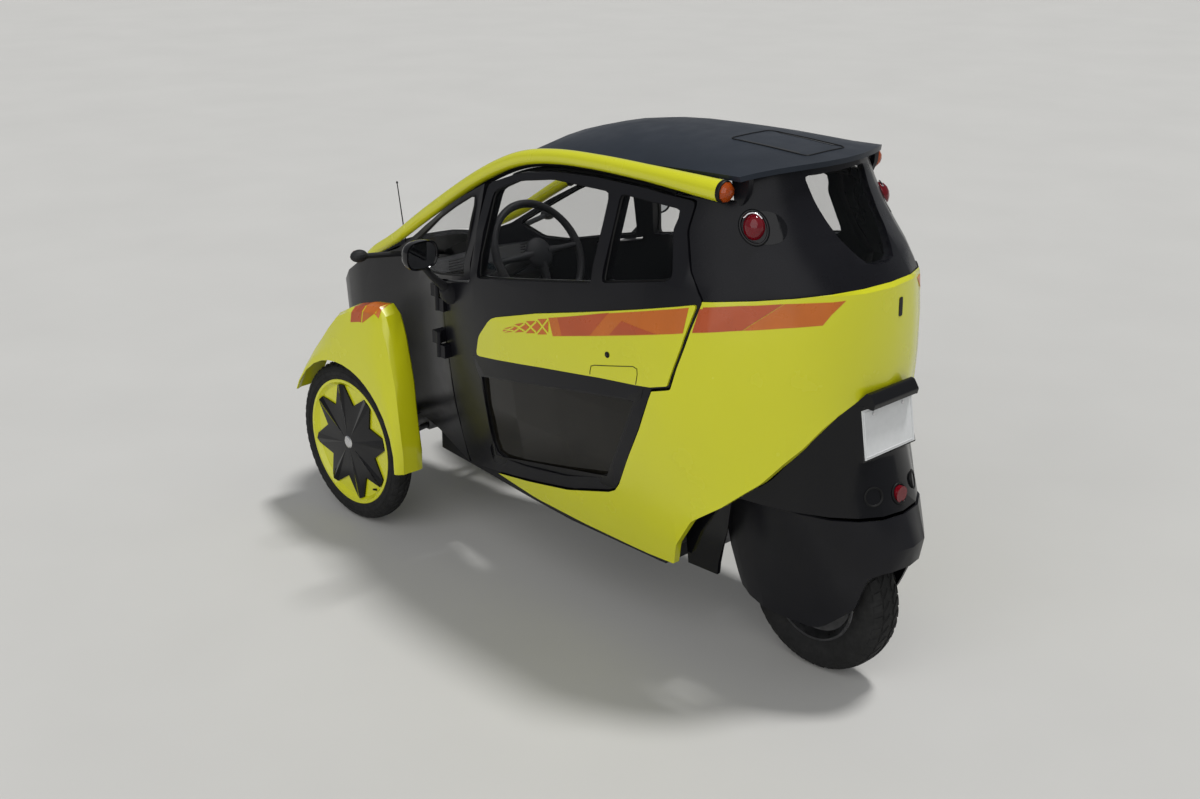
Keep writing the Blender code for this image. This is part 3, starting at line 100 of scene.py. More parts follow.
class Side(Enum):
    """Sides of the car, valued by the sign of x."""

    LEFT = 1
    RIGHT = -1

    @property
    def word(self) -> str:
        """Name ending of this side's nodes."""
        return self.name.lower()

    @property
    def door(self) -> Body:
        """Body of this side's door."""
        return Body.LEFT_DOOR if self is Side.LEFT else Body.RIGHT_DOOR

    @property
    def wheel(self) -> Body:
        """Body of this side's front wheel."""
        return Body.LEFT_WHEEL if self is Side.LEFT else Body.RIGHT_WHEEL


class Tree:
    """Node tree under construction."""

    def __init__(self, tree: bpy.types.NodeTree) -> None:
        """Start from an empty tree."""
        self.tree = tree
        self.nodes = tree.nodes
        self.links = tree.links
        self.nodes.clear()

    def add(self, kind: str, sockets: dict | None = None, **settings) -> bpy.types.Node:
        """Add one node.

        Args:
            kind: Type name of the node.
            sockets: Input name or number to a value, or to the socket that feeds it.
            settings: Other properties of the node.

        Returns:
            The new node.
        """
        node = self.nodes.new(kind)
        for key, value in settings.items():
            setattr(node, key, value)
        for key, value in (sockets or {}).items():
            if isinstance(value, bpy.types.NodeSocket):
                self.links.new(value, node.inputs[key])
            else:
                node.inputs[key].default_value = value
        return node

    def noise(self, vector: bpy.types.NodeSocket, scale: float, detail: float = 3.0) -> bpy.types.NodeSocket:
        """Return the height of a noise pattern with this many waves a metre."""
        return self.add("ShaderNodeTexNoise", {"Vector": vector, "Scale": scale, "Detail": detail}).outputs["Fac"]

    def ranged(self, value: bpy.types.NodeSocket, low: float, high: float,
               start: float = 0.3, end: float = 0.7) -> bpy.types.NodeSocket:
        """Return a pattern's value spread from low to high."""
        sockets = {"Value": value, "From Min": start, "From Max": end, "To Min": low, "To Max": high}
        return self.add("ShaderNodeMapRange", sockets).outputs["Result"]

    def blended(self, share: bpy.types.NodeSocket, dark: Colour, light: Colour) -> bpy.types.NodeSocket:
        """Return a colour between two, by a pattern's value."""
        node = self.add("ShaderNodeMix", data_type="RGBA")
        self.links.new(share, node.inputs["Factor"])
        for socket, colour in zip([s for s in node.inputs if s.type == "RGBA"], (dark, light)):
            socket.default_value = (*colour, 1.0)
        return next(s for s in node.outputs if s.type == "RGBA")


@dataclass(frozen=True)
class Finish:
    """Solid surface with mottled colour, uneven gloss and a fine grain."""

    name: str
    slot: str
    colour: Colour
    roughness: float
    metallic: float = 0.0
    coat: float = 0.0
    mottle: float = 0.06
    mottle_scale: float = 9.0
    gloss_spread: float = 0.05
    grain_scale: float = 900.0
    grain_depth: float = 0.00004
    specular: float = 0.5

    def material(self) -> bpy.types.Material:
        """Return this finish's material, made at its first use."""
        found = bpy.data.materials.get(f"{self.name}_finish")
        if found:
            return found
        made = bpy.data.materials.new(f"{self.name}_finish")
        made.use_nodes = True
        tree = Tree(made.node_tree)
        place = tree.add("ShaderNodeTexCoord").outputs["Object"]
        shader = tree.add("ShaderNodeBsdfPrincipled", {
            "Base Color": self.tint(tree, place),
            "Roughness": tree.ranged(tree.noise(place, self.mottle_scale * 2.3),
                                     max(self.roughness - self.gloss_spread, 0.02),
                                     min(self.roughness + self.gloss_spread, 1.0)),
            "Metallic": self.metallic,
            "Coat Weight": self.coat,
            "Coat Roughness": 0.05,
            "Specular IOR Level": self.specular,
        })
        if self.grain_depth:
            tree.links.new(self.grain(tree, place), shader.inputs["Normal"])
        self.adjust(shader)
        tree.add("ShaderNodeOutputMaterial", {"Surface": shader.outputs["BSDF"]})
        return made

    def tint(self, tree: Tree, place: bpy.types.NodeSocket) -> bpy.types.NodeSocket:
        """Return the mottled colour."""
        pattern = tree.ranged(tree.noise(place, self.mottle_scale), 0.0, 1.0)
        dark = tuple(channel * (1.0 - self.mottle) for channel in self.colour)
        light = tuple(min(channel * (1.0 + self.mottle), 1.0) for channel in self.colour)
        return tree.blended(pattern, dark, light)

    def grain(self, tree: Tree, place: bpy.types.NodeSocket) -> bpy.types.NodeSocket:
        """Return the normal of the fine grain."""
        height = tree.noise(place, self.grain_scale, 2.0)
        return tree.add("ShaderNodeBump", {"Height": height, "Strength": 0.5,
                                           "Distance": self.grain_depth}).outputs["Normal"]

    def adjust(self, shader: bpy.types.Node) -> None:
        """Set the shader's other constants."""


@dataclass(frozen=True)
class Glass(Finish):
    """Clear or tinted glass, or a coloured lens."""

    clear: float = 1.0

    def adjust(self, shader: bpy.types.Node) -> None:
        """Let light through."""
        shader.inputs["Transmission Weight"].default_value = self.clear
        shader.inputs["IOR"].default_value = 1.45


@dataclass(frozen=True)
class Pane(Finish):
    """Window pane that shows what lies behind it."""

    cover: float = 0.3

    def adjust(self, shader: bpy.types.Node) -> None:
        """Let part of the view through."""
        shader.inputs["Alpha"].default_value = self.cover


@dataclass(frozen=True)
class Weave(Finish):
    """Woven seat cloth, with a bump of crossing threads and a soft sheen."""

    threads: float = 420.0

    def grain(self, tree: Tree, place: bpy.types.NodeSocket) -> bpy.types.NodeSocket:
        """Return the normal of the crossing threads."""
        waves = [tree.add("ShaderNodeTexWave", {"Vector": place, "Scale": self.threads, "Distortion": 0.6},
                          bands_direction=direction).outputs["Fac"] for direction in ("X", "Y", "Z")]
        first = tree.add("ShaderNodeMath", {0: waves[0], 1: waves[1]}, operation="MULTIPLY").outputs[0]
        height = tree.add("ShaderNodeMath", {0: first, 1: waves[2]}, operation="ADD").outputs[0]
        return tree.add("ShaderNodeBump", {"Height": height, "Strength": 0.6,
                                           "Distance": 0.0004}).outputs["Normal"]

    def adjust(self, shader: bpy.types.Node) -> None:
        """Add the sheen of cloth."""
        shader.inputs["Sheen Weight"].default_value = 0.4
        shader.inputs["Sheen Roughness"].default_value = 0.5


LIME = Finish("lime_paint", "yellow_paint", (0.610, 0.610, 0.008), 0.24, coat=0.4, mottle=0.015,
              mottle_scale=4.0, grain_scale=260.0, grain_depth=0.000004)
CHARCOAL = Finish("charcoal_panel", "dark_panel", (0.0075, 0.0075, 0.0095), 0.30, mottle=0.12,
                  gloss_spread=0.02, grain_scale=1500.0, grain_depth=0.00003, specular=0.20)
SATIN = Finish("satin_shell", "dark_panel", (0.0065, 0.0065, 0.0085), 0.28, mottle=0.10, gloss_spread=0.02,
               grain_scale=1500.0, grain_depth=0.00001, specular=0.16)
# Dark roof film; the blue cast of its colour is painted reflection of the sky.
ROOF_FILM = Finish("roof_film", "dark_panel", (0.018, 0.023, 0.032), 0.40, mottle=0.10, mottle_scale=6.0,
                   grain_scale=1500.0, grain_depth=0.00003, specular=0.15)
# Gloss black of real parts, also laid as painted shade in the roof's recess and round the tail lamps.
SHADE = Finish("gloss_black_panel", "dark_panel", (0.004, 0.004, 0.005), 0.12, mottle=0.10, grain_scale=300.0,
               grain_depth=0.000003, specular=0.26)
MOULDING = Finish("moulded_plastic", "moulded_plastic", (0.016, 0.016, 0.018), 0.60, mottle=0.15,
                  grain_scale=1100.0, grain_depth=0.00012, specular=0.25)
SEAL = Finish("seal_rubber", "tyre_rubber", (0.005, 0.005, 0.005), 0.50, mottle=0.15, grain_scale=1300.0,
              specular=0.2)
RUBBER = Finish("tyre_rubber", "tyre_rubber", (0.012, 0.012, 0.012), 0.74, mottle=0.25, mottle_scale=30.0,
                gloss_spread=0.10, grain_scale=800.0, grain_depth=0.0002, specular=0.25)
STEEL = Finish("dark_steel", "dark_steel", (0.10, 0.10, 0.105), 0.38, metallic=0.95, mottle=0.20,
               mottle_scale=40.0, gloss_spread=0.12)
BRIGHT = Finish("bright_steel", "dark_steel", (0.62, 0.62, 0.63), 0.22, metallic=1.0, mottle=0.08,
                mottle_scale=50.0, gloss_spread=0.08)
ORANGE = Finish("orange_film", "yellow_paint", (0.520, 0.125, 0.008), 0.30, coat=0.1, mottle=0.05,
                mottle_scale=14.0, grain_depth=0.000004)
BRICK = Finish("brick_red_film", "yellow_paint", (0.430, 0.070, 0.012), 0.30, coat=0.1, mottle=0.06,
               mottle_scale=14.0, grain_depth=0.000004)
TINTED = Pane("tinted_glass", "tinted_glass", (0.012, 0.014, 0.014), 0.03, mottle=0.10, gloss_spread=0.01,
              grain_depth=0.0, cover=0.08)
SMOKED = Pane("smoked_glass", "tinted_glass", (0.010, 0.009, 0.007), 0.04, mottle=0.15, gloss_spread=0.01,
              grain_depth=0.0, cover=0.88, specular=0.25)
MIRRORED = Finish("mirror_face", "dark_steel", (0.60, 0.62, 0.64), 0.03, metallic=1.0, mottle=0.01,
                  gloss_spread=0.01, grain_depth=0.0)
AMBER = Glass("amber_lens", "amber_lens", (0.55, 0.085, 0.005), 0.10, clear=0.5)
RED = Glass("red_lens", "red_lens", (0.22, 0.004, 0.012), 0.08, clear=0.4)
CLEAR = Glass("clear_lens", "clear_lens", (0.92, 0.94, 0.95), 0.06, clear=0.9)
PLATE = Finish("plate_white", "plate_white", (0.66, 0.67, 0.67), 0.42, mottle=0.03, mottle_scale=60.0)
SCREEN = Finish("display_face", "moulded_plastic", (0.010, 0.022, 0.030), 0.08, coat=0.5, mottle=0.3)
CLOTH = Weave("seat_cloth", "seat_fabric", (0.030, 0.031, 0.035), 0.90, mottle=0.20, mottle_scale=60.0)
THREAD = Finish("seat_thread", "seat_fabric", (0.16, 0.17, 0.10), 0.80, mottle=0.20, mottle_scale=300.0)

NODE_FINISHES: dict[Finish, tuple[str, ...]] = {
    MOULDING: ("dashboard", "floor_tub", "indicator_left", "indicator_right"),
    STEEL: ("battery", "front_suspension", "knuckle_left", "knuckle_right", "rear_fork", "rear_subframe"),
    TINTED: ("door_glass_front_left", "door_glass_front_right", "door_glass_rear_left", "door_glass_rear_right",
             "quarter_glass_left", "quarter_glass_right", "rear_glass", "windscreen"),
    SMOKED: ("door_glass_lower_left", "door_glass_lower_right"),
    AMBER: ("rail_lamp_left", "rail_lamp_right"),
    RED: ("rear_reflector", "tail_lamp_left", "tail_lamp_right"),
    CLEAR: ("headlamp_left", "headlamp_right"),
    PLATE: ("number_plate",),
}


def angles(count: int) -> list[float]:
    """Return this many even angles round a circle."""
    return [TURN * k / count for k in range(count)]


def hits(points: Iterable[Vector | None]) -> list[Vector]:
    """Return those points that were found on a surface."""
    return [point for point in points if point]


def between(table: Sequence[Flat], value: float) -> float:
    """Return a table's second number at a value of its first."""
    for (a0, b0), (a1, b1) in zip(table, table[1:]):
        if value <= a1:
            return b0 + (b1 - b0) * (value - a0) / (a1 - a0)
    return table[-1][1]


def mirrored(half: Sequence[Flat]) -> list[Flat]:
    """Return a section made of one half and its mirror image."""
    return [(-along, radius) for along, radius in reversed(half[1:])] + list(half)


def loft(rows: Sequence[Sequence[Vector]], wrap: bool = False, caps: bool = False) -> bmesh.types.BMesh:
    """Return the surface through rows of points.

    Args:
        rows: Points of each row, the same number in each.
        wrap: Whether each row closes on itself.
        caps: Whether the first and last row are filled.

    Returns:
        The surface, facing outwards where it is closed.
    """
    bm = bmesh.new()
    verts = [[bm.verts.new(point) for point in row] for row in rows]
    count = len(rows[0])
    for low, high in zip(verts, verts[1:]):
        for j in range(count if wrap else count - 1):
            k = (j + 1) % count
            bm.faces.new((low[j], low[k], high[k], high[j]))
    if caps:
        bm.faces.new(list(reversed(verts[0])))
        bm.faces.new(verts[-1])
    bmesh.ops.recalc_face_normals(bm, faces=bm.faces)
    return bm


def across(direction: Vector) -> tuple[Vector, Vector]:
    """Return two directions square to a third and to each other."""
    first = direction.orthogonal().normalized()
    return first, direction.cross(first).normalized()


def tube(path: Sequence[Vector], radius: float | Sequence[float], sides: int = 10,
         closed: bool = False) -> bmesh.types.BMesh:
    """Return a round tube along a path.

    Args:
        path: Points of its middle line.
        radius: Its radius, or one for each point.
        sides: Number of faces round it.
        closed: Whether the path joins its own start.

    Returns:
        The closed tube.
    """
    count = len(path)
    radii = [radius] * count if isinstance(radius, float) else list(radius)
    rows = []
    side = None
    for i, point in enumerate(path):
        before = path[i - 1] if closed or i else path[0]
        after = path[(i + 1) % count] if closed or i < count - 1 else path[-1]
        along = (after - before).normalized()
        if side is None:
            side = across(along)[0]
        side = (side - along * side.dot(along)).normalized()
        up = along.cross(side)
        rows.append([point + (side * math.cos(a) + up * math.sin(a)) * radii[i] for a in angles(sides)])
    if closed:
        rows.append(rows[0])
    bm = loft(rows, wrap=True, caps=not closed)
    if closed:
        bmesh.ops.remove_doubles(bm, verts=bm.verts, dist=WELD)
        bmesh.ops.recalc_face_normals(bm, faces=bm.faces)
    return bm


def lathe(profile: Sequence[Flat], centre: Vector, axis: Vector, steps: int = 48,
          closed: bool = True) -> bmesh.types.BMesh:
    """Return a profile turned about an axis.

    Args:
        profile: Distance along the axis and radius of each corner.
        centre: Point on the axis from which distances count.
        axis: Direction of the axis.
        steps: Number of faces round it.
        closed: Whether the profile's last corner joins its first.

    Returns:
        The turned solid. A corner on the axis becomes a pole.
    """
    axis = axis.normalized()
    first, second = across(axis)
    rows = []
    for angle in angles(steps):
        out = first * math.cos(angle) + second * math.sin(angle)
        rows.append([centre + axis * along + out * radius for along, radius in profile])
    rows.append(rows[0])
    bm = loft(rows, wrap=closed)
    bmesh.ops.remove_doubles(bm, verts=bm.verts, dist=WELD)
    bmesh.ops.recalc_face_normals(bm, faces=bm.faces)
    return bm


def block(low: Sequence[float], high: Sequence[float], edge: float = 0.0, segments: int = 2) -> bmesh.types.BMesh:
    """Return a box with rounded edges between two corners."""
    bm = bmesh.new()
    size = Vector(high) - Vector(low)
    middle = (Vector(high) + Vector(low)) / 2
    bmesh.ops.create_cube(bm, size=1.0, matrix=Matrix.Translation(middle) @ Matrix.Diagonal((*size, 1.0)))
    if edge:
        bmesh.ops.bevel(bm, geom=bm.edges[:], offset=edge, segments=segments, affect="EDGES", profile=0.5)
    return bm


def joined(parts: Iterable[bmesh.types.BMesh]) -> bmesh.types.BMesh:
    """Return several meshes as one."""
    whole = bmesh.new()
    for part in parts:
        mesh = bpy.data.meshes.new("joined")
        part.to_mesh(mesh)
        part.free()
        whole.from_mesh(mesh)
        bpy.data.meshes.remove(mesh)
    return whole


def flipped(bm: bmesh.types.BMesh) -> bmesh.types.BMesh:
    """Return a mesh mirrored to the car's other side, still facing outwards."""
    bmesh.ops.transform(bm, matrix=Matrix.Scale(-1.0, 4, (1, 0, 0)), verts=bm.verts)
    bmesh.ops.reverse_faces(bm, faces=bm.faces)
    return bm


def smoothed(path: Sequence[Vector], step: float, closed: bool = False) -> list[Vector]:
    """Return points along a path at even steps, with its corners kept."""
    points = list(path) + ([path[0]] if closed else [])
    result = []
    for start, end in zip(points, points[1:]):
        count = max(round((end - start).length / step), 1)
        result += [start.lerp(end, i / count) for i in range(count)]
    return result if closed else result + [points[-1]]


def outlined(outline: Sequence[Flat], step: float) -> list[Flat]:
    """Return a flat outline with points at even steps, its corners kept."""
    return [(p.x, p.y) for p in smoothed([Vector((*corner, 0.0)) for corner in outline], step, closed=True)]


def rounded(outline: Sequence[Point], steps: int = 5) -> list[Flat]:
    """Return an outline with its corners rounded: each row is two coordinates and the radius there."""
    points = []
    count = len(outline)
    for i, (a, b, radius) in enumerate(outline):
        corner = Vector((a, b))
        before = Vector(outline[i - 1][:2]) - corner
        after = Vector(outline[(i + 1) % count][:2]) - corner
        reach = min(radius, before.length * 0.45, after.length * 0.45)
        start, end = corner + before.normalized() * reach, corner + after.normalized() * reach
        for k in range(steps + 1):
            t = k / steps
            points.append(tuple(start * (1 - t) ** 2 + corner * 2 * t * (1 - t) + end * t**2))
    return points


@dataclass
class Skin:
    """Surface of one or more frame nodes, onto which trim is laid."""

    names: tuple[str, ...]

    def __post_init__(self) -> None:
        """Read the nodes' meshes."""
        bm = joined(copied(name) for name in self.names)
        self.tree = BVHTree.FromBMesh(bm)
        bm.free()

    def cast(self, start: Vector, direction: Vector, lift: float = 0.0) -> Vector | None:
        """Return where a ray meets the surface, raised along its normal."""
        place, normal, _, _ = self.tree.ray_cast(start, direction)
        return None if place is None else place + normal * lift

    def beside(self, y: float, z: float, side: Side, lift: float = 0.0) -> Vector | None:
        """Return the outermost point of one side at a height and length."""
        return self.cast(Vector((side.value * 1.5, y, z)), Vector((-side.value, 0, 0)), lift)

    def above(self, x: float, y: float, lift: float = 0.0) -> Vector | None:
        """Return the top point over a place on the ground."""
        return self.cast(Vector((x, y, 3.0)), Vector((0, 0, -1)), lift)

    def behind(self, x: float, z: float, lift: float = 0.0) -> Vector | None:
        """Return the rearmost point at a place across the car."""
        return self.cast(Vector((x, 3.0, z)), Vector((0, -1, 0)), lift)


def copied(name: str) -> bmesh.types.BMesh:
    """Return a copy of a node's mesh, with its loose triangles merged."""
    bm = bmesh.new()
    bm.from_mesh(bpy.data.objects[name].data)
    bmesh.ops.remove_doubles(bm, verts=bm.verts, dist=NODE_WELD)
    return bm


def loops(name: str, facing: Callable[[Vector], bool]) -> list[list[Vector]]:
    """Return the closed borders of those faces of a node that face one way.

    Args:
        name: Name of the node.
        facing: Whether a face with this normal counts.

    Returns:
        The points of each border, in order.
    """
    bm = copied(name)
    away = [face for face in bm.faces if not facing(face.normal)]
    bmesh.ops.delete(bm, geom=away, context="FACES")
    # A dict keeps the edges in order, so that every run starts each border at the same edge.
    border = dict.fromkeys(edge for edge in bm.edges if len(edge.link_faces) == 1)
    found = []
    while border:
        edge = next(iter(border))
        del border[edge]
        start, here = edge.verts
        chain = [start.co.copy(), here.co.copy()]
        while here != start:
            step = next((e for e in here.link_edges if e in border), None)
            if step is None:
                break
            del border[step]
            here = step.other_vert(here)
            chain.append(here.co.copy())
        if len(chain) > 6:
            found.append(chain[:-1])
    bm.free()
    return found


class Assembly:
    """Group of pieces that belong together."""

    def piece(self, name: str, bm: bmesh.types.BMesh, finish: Finish, body: Body, *, crease: float = 32.0,
              replaces: Sequence[str] = ()) -> bpy.types.Object:
        """Make one piece from a mesh and put it on its body.

        Args:
            name: Name of the piece.
            bm: Its mesh, which is used up.
            finish: Its finish.
            body: The body that it rides on.
            crease: Edges sharper than this many degrees stay sharp.
            replaces: Frame nodes that it stands for.

        Returns:
            The new object.
        """
        for face in bm.faces:
            face.smooth = True
        for edge in bm.edges:
            edge.smooth = len(edge.link_faces) != 2 or edge.calc_face_angle(0.0) < math.radians(crease)
        mesh = bpy.data.meshes.new(name)
        bm.to_mesh(mesh)
        bm.free()
        mesh.materials.append(finish.material())
        obj = bpy.data.objects.new(name, mesh)
        bpy.context.scene.collection.objects.link(obj)
        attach(obj, body.value)
        if replaces:
            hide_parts(*replaces)
        log.info("%s: %d faces on %s", name, len(mesh.polygons), body.value)
        return obj

    def lens(self, name: str, finish: Finish) -> None:
        """Replace a lamp's node by a smooth copy."""
        self.piece(f"{name}_lens", copied(name), finish, Body.CAR, crease=50, replaces=(name,))


class Repeat(Enum):
    """Ways in which one small solid is repeated by Geometry Nodes."""

    RING = "ring"
    ROW = "row"


@dataclass(frozen=True)
class Repeater:
    """Geometry Nodes that repeat a small solid round an axis, or along a straight row."""

    kind: Repeat

    def tree(self) -> bpy.types.NodeTree:
        """Return the node tree, made at its first use."""
        name = f"repeat_in_{self.kind.value}"
        found = bpy.data.node_groups.get(name)
        if found:
            return found
        group = bpy.data.node_groups.new(name, "GeometryNodeTree")
        for label, kind in (("Geometry", "NodeSocketGeometry"), ("Count", "NodeSocketInt"),
                            ("Centre", "NodeSocketVector"), ("Along", "NodeSocketVector"),
                            ("Sweep", "NodeSocketFloat"), ("Finish", "NodeSocketMaterial")):
            group.interface.new_socket(label, in_out="INPUT", socket_type=kind)
        group.interface.new_socket("Geometry", in_out="OUTPUT", socket_type="NodeSocketGeometry")
        tree = Tree(group)
        source = tree.add("NodeGroupInput").outputs
        points = tree.add("GeometryNodePoints", {"Count": source["Count"]})
        index = tree.add("GeometryNodeInputIndex").outputs[0]
        share = tree.add("ShaderNodeMath", {0: index, 1: source["Count"]}, operation="DIVIDE").outputs[0]
        amount = tree.add("ShaderNodeMath", {0: share, 1: source["Sweep"]}, operation="MULTIPLY").outputs[0]
        copies = tree.add("GeometryNodeInstanceOnPoints", {"Points": points.outputs[0],
                                                           "Instance": source["Geometry"]})
        if self.kind is Repeat.RING:
            turn = tree.add("FunctionNodeAxisAngleToRotation", {"Axis": source["Along"], "Angle": amount})
            tree.links.new(turn.outputs[0], copies.inputs["Rotation"])
            solid = copies.outputs[0]
        else:
            shift = tree.add("ShaderNodeVectorMath", {0: source["Along"]}, operation="SCALE")
            tree.links.new(amount, shift.inputs["Scale"])
            moved = tree.add("GeometryNodeTranslateInstances", {"Instances": copies.outputs[0],
                                                                "Translation": shift.outputs[0],
                                                                "Local Space": False})
            solid = moved.outputs[0]
        real = tree.add("GeometryNodeRealizeInstances", {"Geometry": solid}).outputs[0]
        placed = tree.add("GeometryNodeTransform", {"Geometry": real, "Translation": source["Centre"]}).outputs[0]
        dressed = tree.add("GeometryNodeSetMaterial", {"Geometry": placed, "Material": source["Finish"]})
        tree.add("NodeGroupOutput", {"Geometry": dressed.outputs[0]})
        return group

    def spread(self, bm: bmesh.types.BMesh, count: int, centre: Sequence[float], along: Sequence[float],
               sweep: float, finish: Finish) -> bmesh.types.BMesh:
        """Repeat a solid and return all its copies as one mesh.

        Args:
            bm: The solid, placed about the origin. It is used up.
            count: Number of copies.
            centre: Place of the ring's centre or of the row's start.
            along: Axis of the ring, or direction of the row.
            sweep: Whole turn of the ring in radians, or length of the row.
            finish: Finish of the copies.

        Returns:
            The mesh of all copies.
        """
        mesh = bpy.data.meshes.new("repeated")
        bm.to_mesh(mesh)
        bm.free()
        host = bpy.data.objects.new("repeated", mesh)
        bpy.context.scene.collection.objects.link(host)
        group = self.tree()
        modifier = host.modifiers.new("repeat", "NODES")
        modifier.node_group = group
        values = {"Count": count, "Centre": tuple(centre), "Along": tuple(along), "Sweep": sweep,
                  "Finish": finish.material()}
        for item in group.interface.items_tree:
            if item.in_out == "INPUT" and item.name in values:
                modifier[item.identifier] = values[item.name]
        graph = bpy.context.evaluated_depsgraph_get()
        result = bpy.data.meshes.new_from_object(host.evaluated_get(graph))
        whole = bmesh.new()
        whole.from_mesh(result)
        bpy.data.objects.remove(host)
        bpy.data.meshes.remove(mesh)
        bpy.data.meshes.remove(result)
        return whole


RING = Repeater(Repeat.RING)
ROW = Repeater(Repeat.ROW)


def hexagon_bolt(radius: float, height: float, axis: Vector) -> bmesh.types.BMesh:
    """Return a small bolt head with a washer, standing on the origin along its axis."""
    washer = lathe([(0.0, 0.0), (0.0, radius * 1.5), (height * 0.25, radius * 1.5), (height * 0.25, 0.0)],
                   Vector(), axis, 18, closed=False)
    head = lathe([(0.0, 0.0), (0.0, radius), (height * 0.9, radius), (height, radius * 0.84), (height, 0.0)],
                 Vector(), axis, 6, closed=False)
    return joined([washer, head])


@dataclass
class Panels(Assembly):
    """Painted and moulded panels of the body, the roof rails and their gaskets."""

    crease: float = 30.0
    flat_angle: float = 0.6
    hood_share: float = 0.84
    hood_start: Flat = (1.045, 0.837)
    corner: Profile = ((0.728, 1.404), (0.786, 1.410), (0.784, 1.380), (0.768, 1.346), (0.742, 1.332))
    corner_faces: Flat = (0.246, 0.262)
    spans: int = 6
    bed_shift: Point = (-0.015, 0.0, -0.017)
    lining_shift: Point = (-0.034, 0.0, -0.045)
    stations: tuple[tuple[float, float, float, float], ...] = (
        (-0.850, 0.250, 0.890, 0.012), (-0.800, 0.254, 0.919, 0.016), (-0.684, 0.260, 0.982, 0.018),
        (-0.509, 0.270, 1.092, 0.020), (-0.296, 0.283, 1.218, 0.021), (-0.144, 0.291, 1.297, 0.021),
        (-0.015, 0.299, 1.346, 0.021), (0.124, 0.305, 1.372, 0.021), (0.288, 0.310, 1.384, 0.021),
        (0.480, 0.311, 1.3865, 0.0225), (0.650, 0.306, 1.3825, 0.027), (0.738, 0.299, 1.379, 0.029))

    def build(self) -> None:
        """Dress every panel of the frame."""
        self.panel("nose_shell", CHARCOAL, Body.CAR)
        self.panel("rear_upper_shell", SATIN, Body.CAR)
        self.panel("roof_panel", ROOF_FILM, Body.CAR)
        self.panel("rear_fairing", SHADE, Body.CAR)
        self.panel("rear_wheel_cover", CHARCOAL, Body.REAR_STEER)
        # The tail's inner faces and cut edges take dark rubber; along its lower edge this dark is also painted shade
        # for the shadow line there.
        self.panel("tail_shell", LIME, Body.CAR, SEAL)
        for side in Side:
            self.panel(f"door_{side.word}", CHARCOAL, side.door)
            self.panel(f"door_band_{side.word}", LIME, side.door)
            self.panel(f"front_fender_{side.word}", LIME, Body.CAR)
            self.rail(side)
            self.corner_seal(side)

    def corner_seal(self, side: Side) -> None:
        """Fill the corner between door, roof and rear shell with its moulded gusset."""
        rows = [[Vector((side.value * x, y, z)) for y, z in self.corner] for x in self.corner_faces]
        self.piece(f"door_corner_seal_{side.word}", loft(rows, wrap=True, caps=True), CHARCOAL, Body.CAR)

    def rail(self, side: Side) -> None:
        """Replace one roof rail by a smooth tube through the same stations."""
        stations = [Vector((side.value * x, y, z)) for y, x, z, _ in self.stations]
        radii = [row[3] for row in self.stations]
        path, sizes = [], []
        last = len(stations) - 1
        for k in range(last):
            before, start, end, after = (stations[max(min(j, last), 0)] for j in range(k - 1, k + 3))
            for i in range(self.spans):
                t = i / self.spans
                path.append(0.5 * (2 * start + (end - before) * t + (2 * before - 5 * start + 4 * end - after) * t**2
                                   + (3 * start - before - 3 * end + after) * t**3))
                sizes.append(radii[k] + (radii[k + 1] - radii[k]) * t)
        path.append(stations[-1])
        sizes.append(radii[-1])
        beds = []
        for (x, y, z), low, high, radius in ((self.bed_shift, -0.45, math.inf, 0.014),
                                             (self.lining_shift, -0.10, 0.70, 0.012)):
            shift = Vector((side.value * x, y, z))
            beds.append(tube([point + shift for point in path if low < point.y < high], radius, 10))
        self.piece(f"roof_rail_{side.word}_gasket", joined(beds), SEAL, Body.CAR)
        self.piece(f"roof_rail_{side.word}_skin", tube(path, sizes, 28), LIME, Body.CAR, crease=50,
                   replaces=(f"roof_rail_{side.word}",))

    def panel(self, name: str, finish: Finish, body: Body, rim: Finish | None = None) -> None:
        """Replace one panel by a smooth copy.

        Args:
            name: Name of the frame's node.
            finish: Its finish.
            body: The body that it rides on.
            rim: Finish of its cut edges and of the faces towards the cabin. On the tail's lower edge this dark
                finish is also painted shade for the shadow line under the shell.
        """
        bm = copied(name)
        bmesh.ops.dissolve_limit(bm, angle_limit=math.radians(self.flat_angle), verts=bm.verts, edges=bm.edges)
        if name == "rear_fairing":
            for vert in bm.verts:
                if vert.co.y > self.hood_start[0] and vert.co.z > self.hood_start[1]:
                    vert.co.x *= self.hood_share
        # Faces that do not face outwards take the dark rim finish, which along the tail's lower edge is also painted
        # shade.
        if rim:
            for face in bm.faces:
                middle = face.calc_center_median()
                away = Vector((middle.x, max(middle.y - 0.5, 0.0), 0.0))
                if face.normal.dot(away) < 0.02 * away.length:
                    face.material_index = 1
        obj = self.piece(f"{name}_skin", bm, finish, body, crease=self.crease, replaces=(name,))
        if rim:
            obj.data.materials.append(rim.material())
        weighted = obj.modifiers.new("even_normals", "WEIGHTED_NORMAL")
        weighted.keep_sharp = True


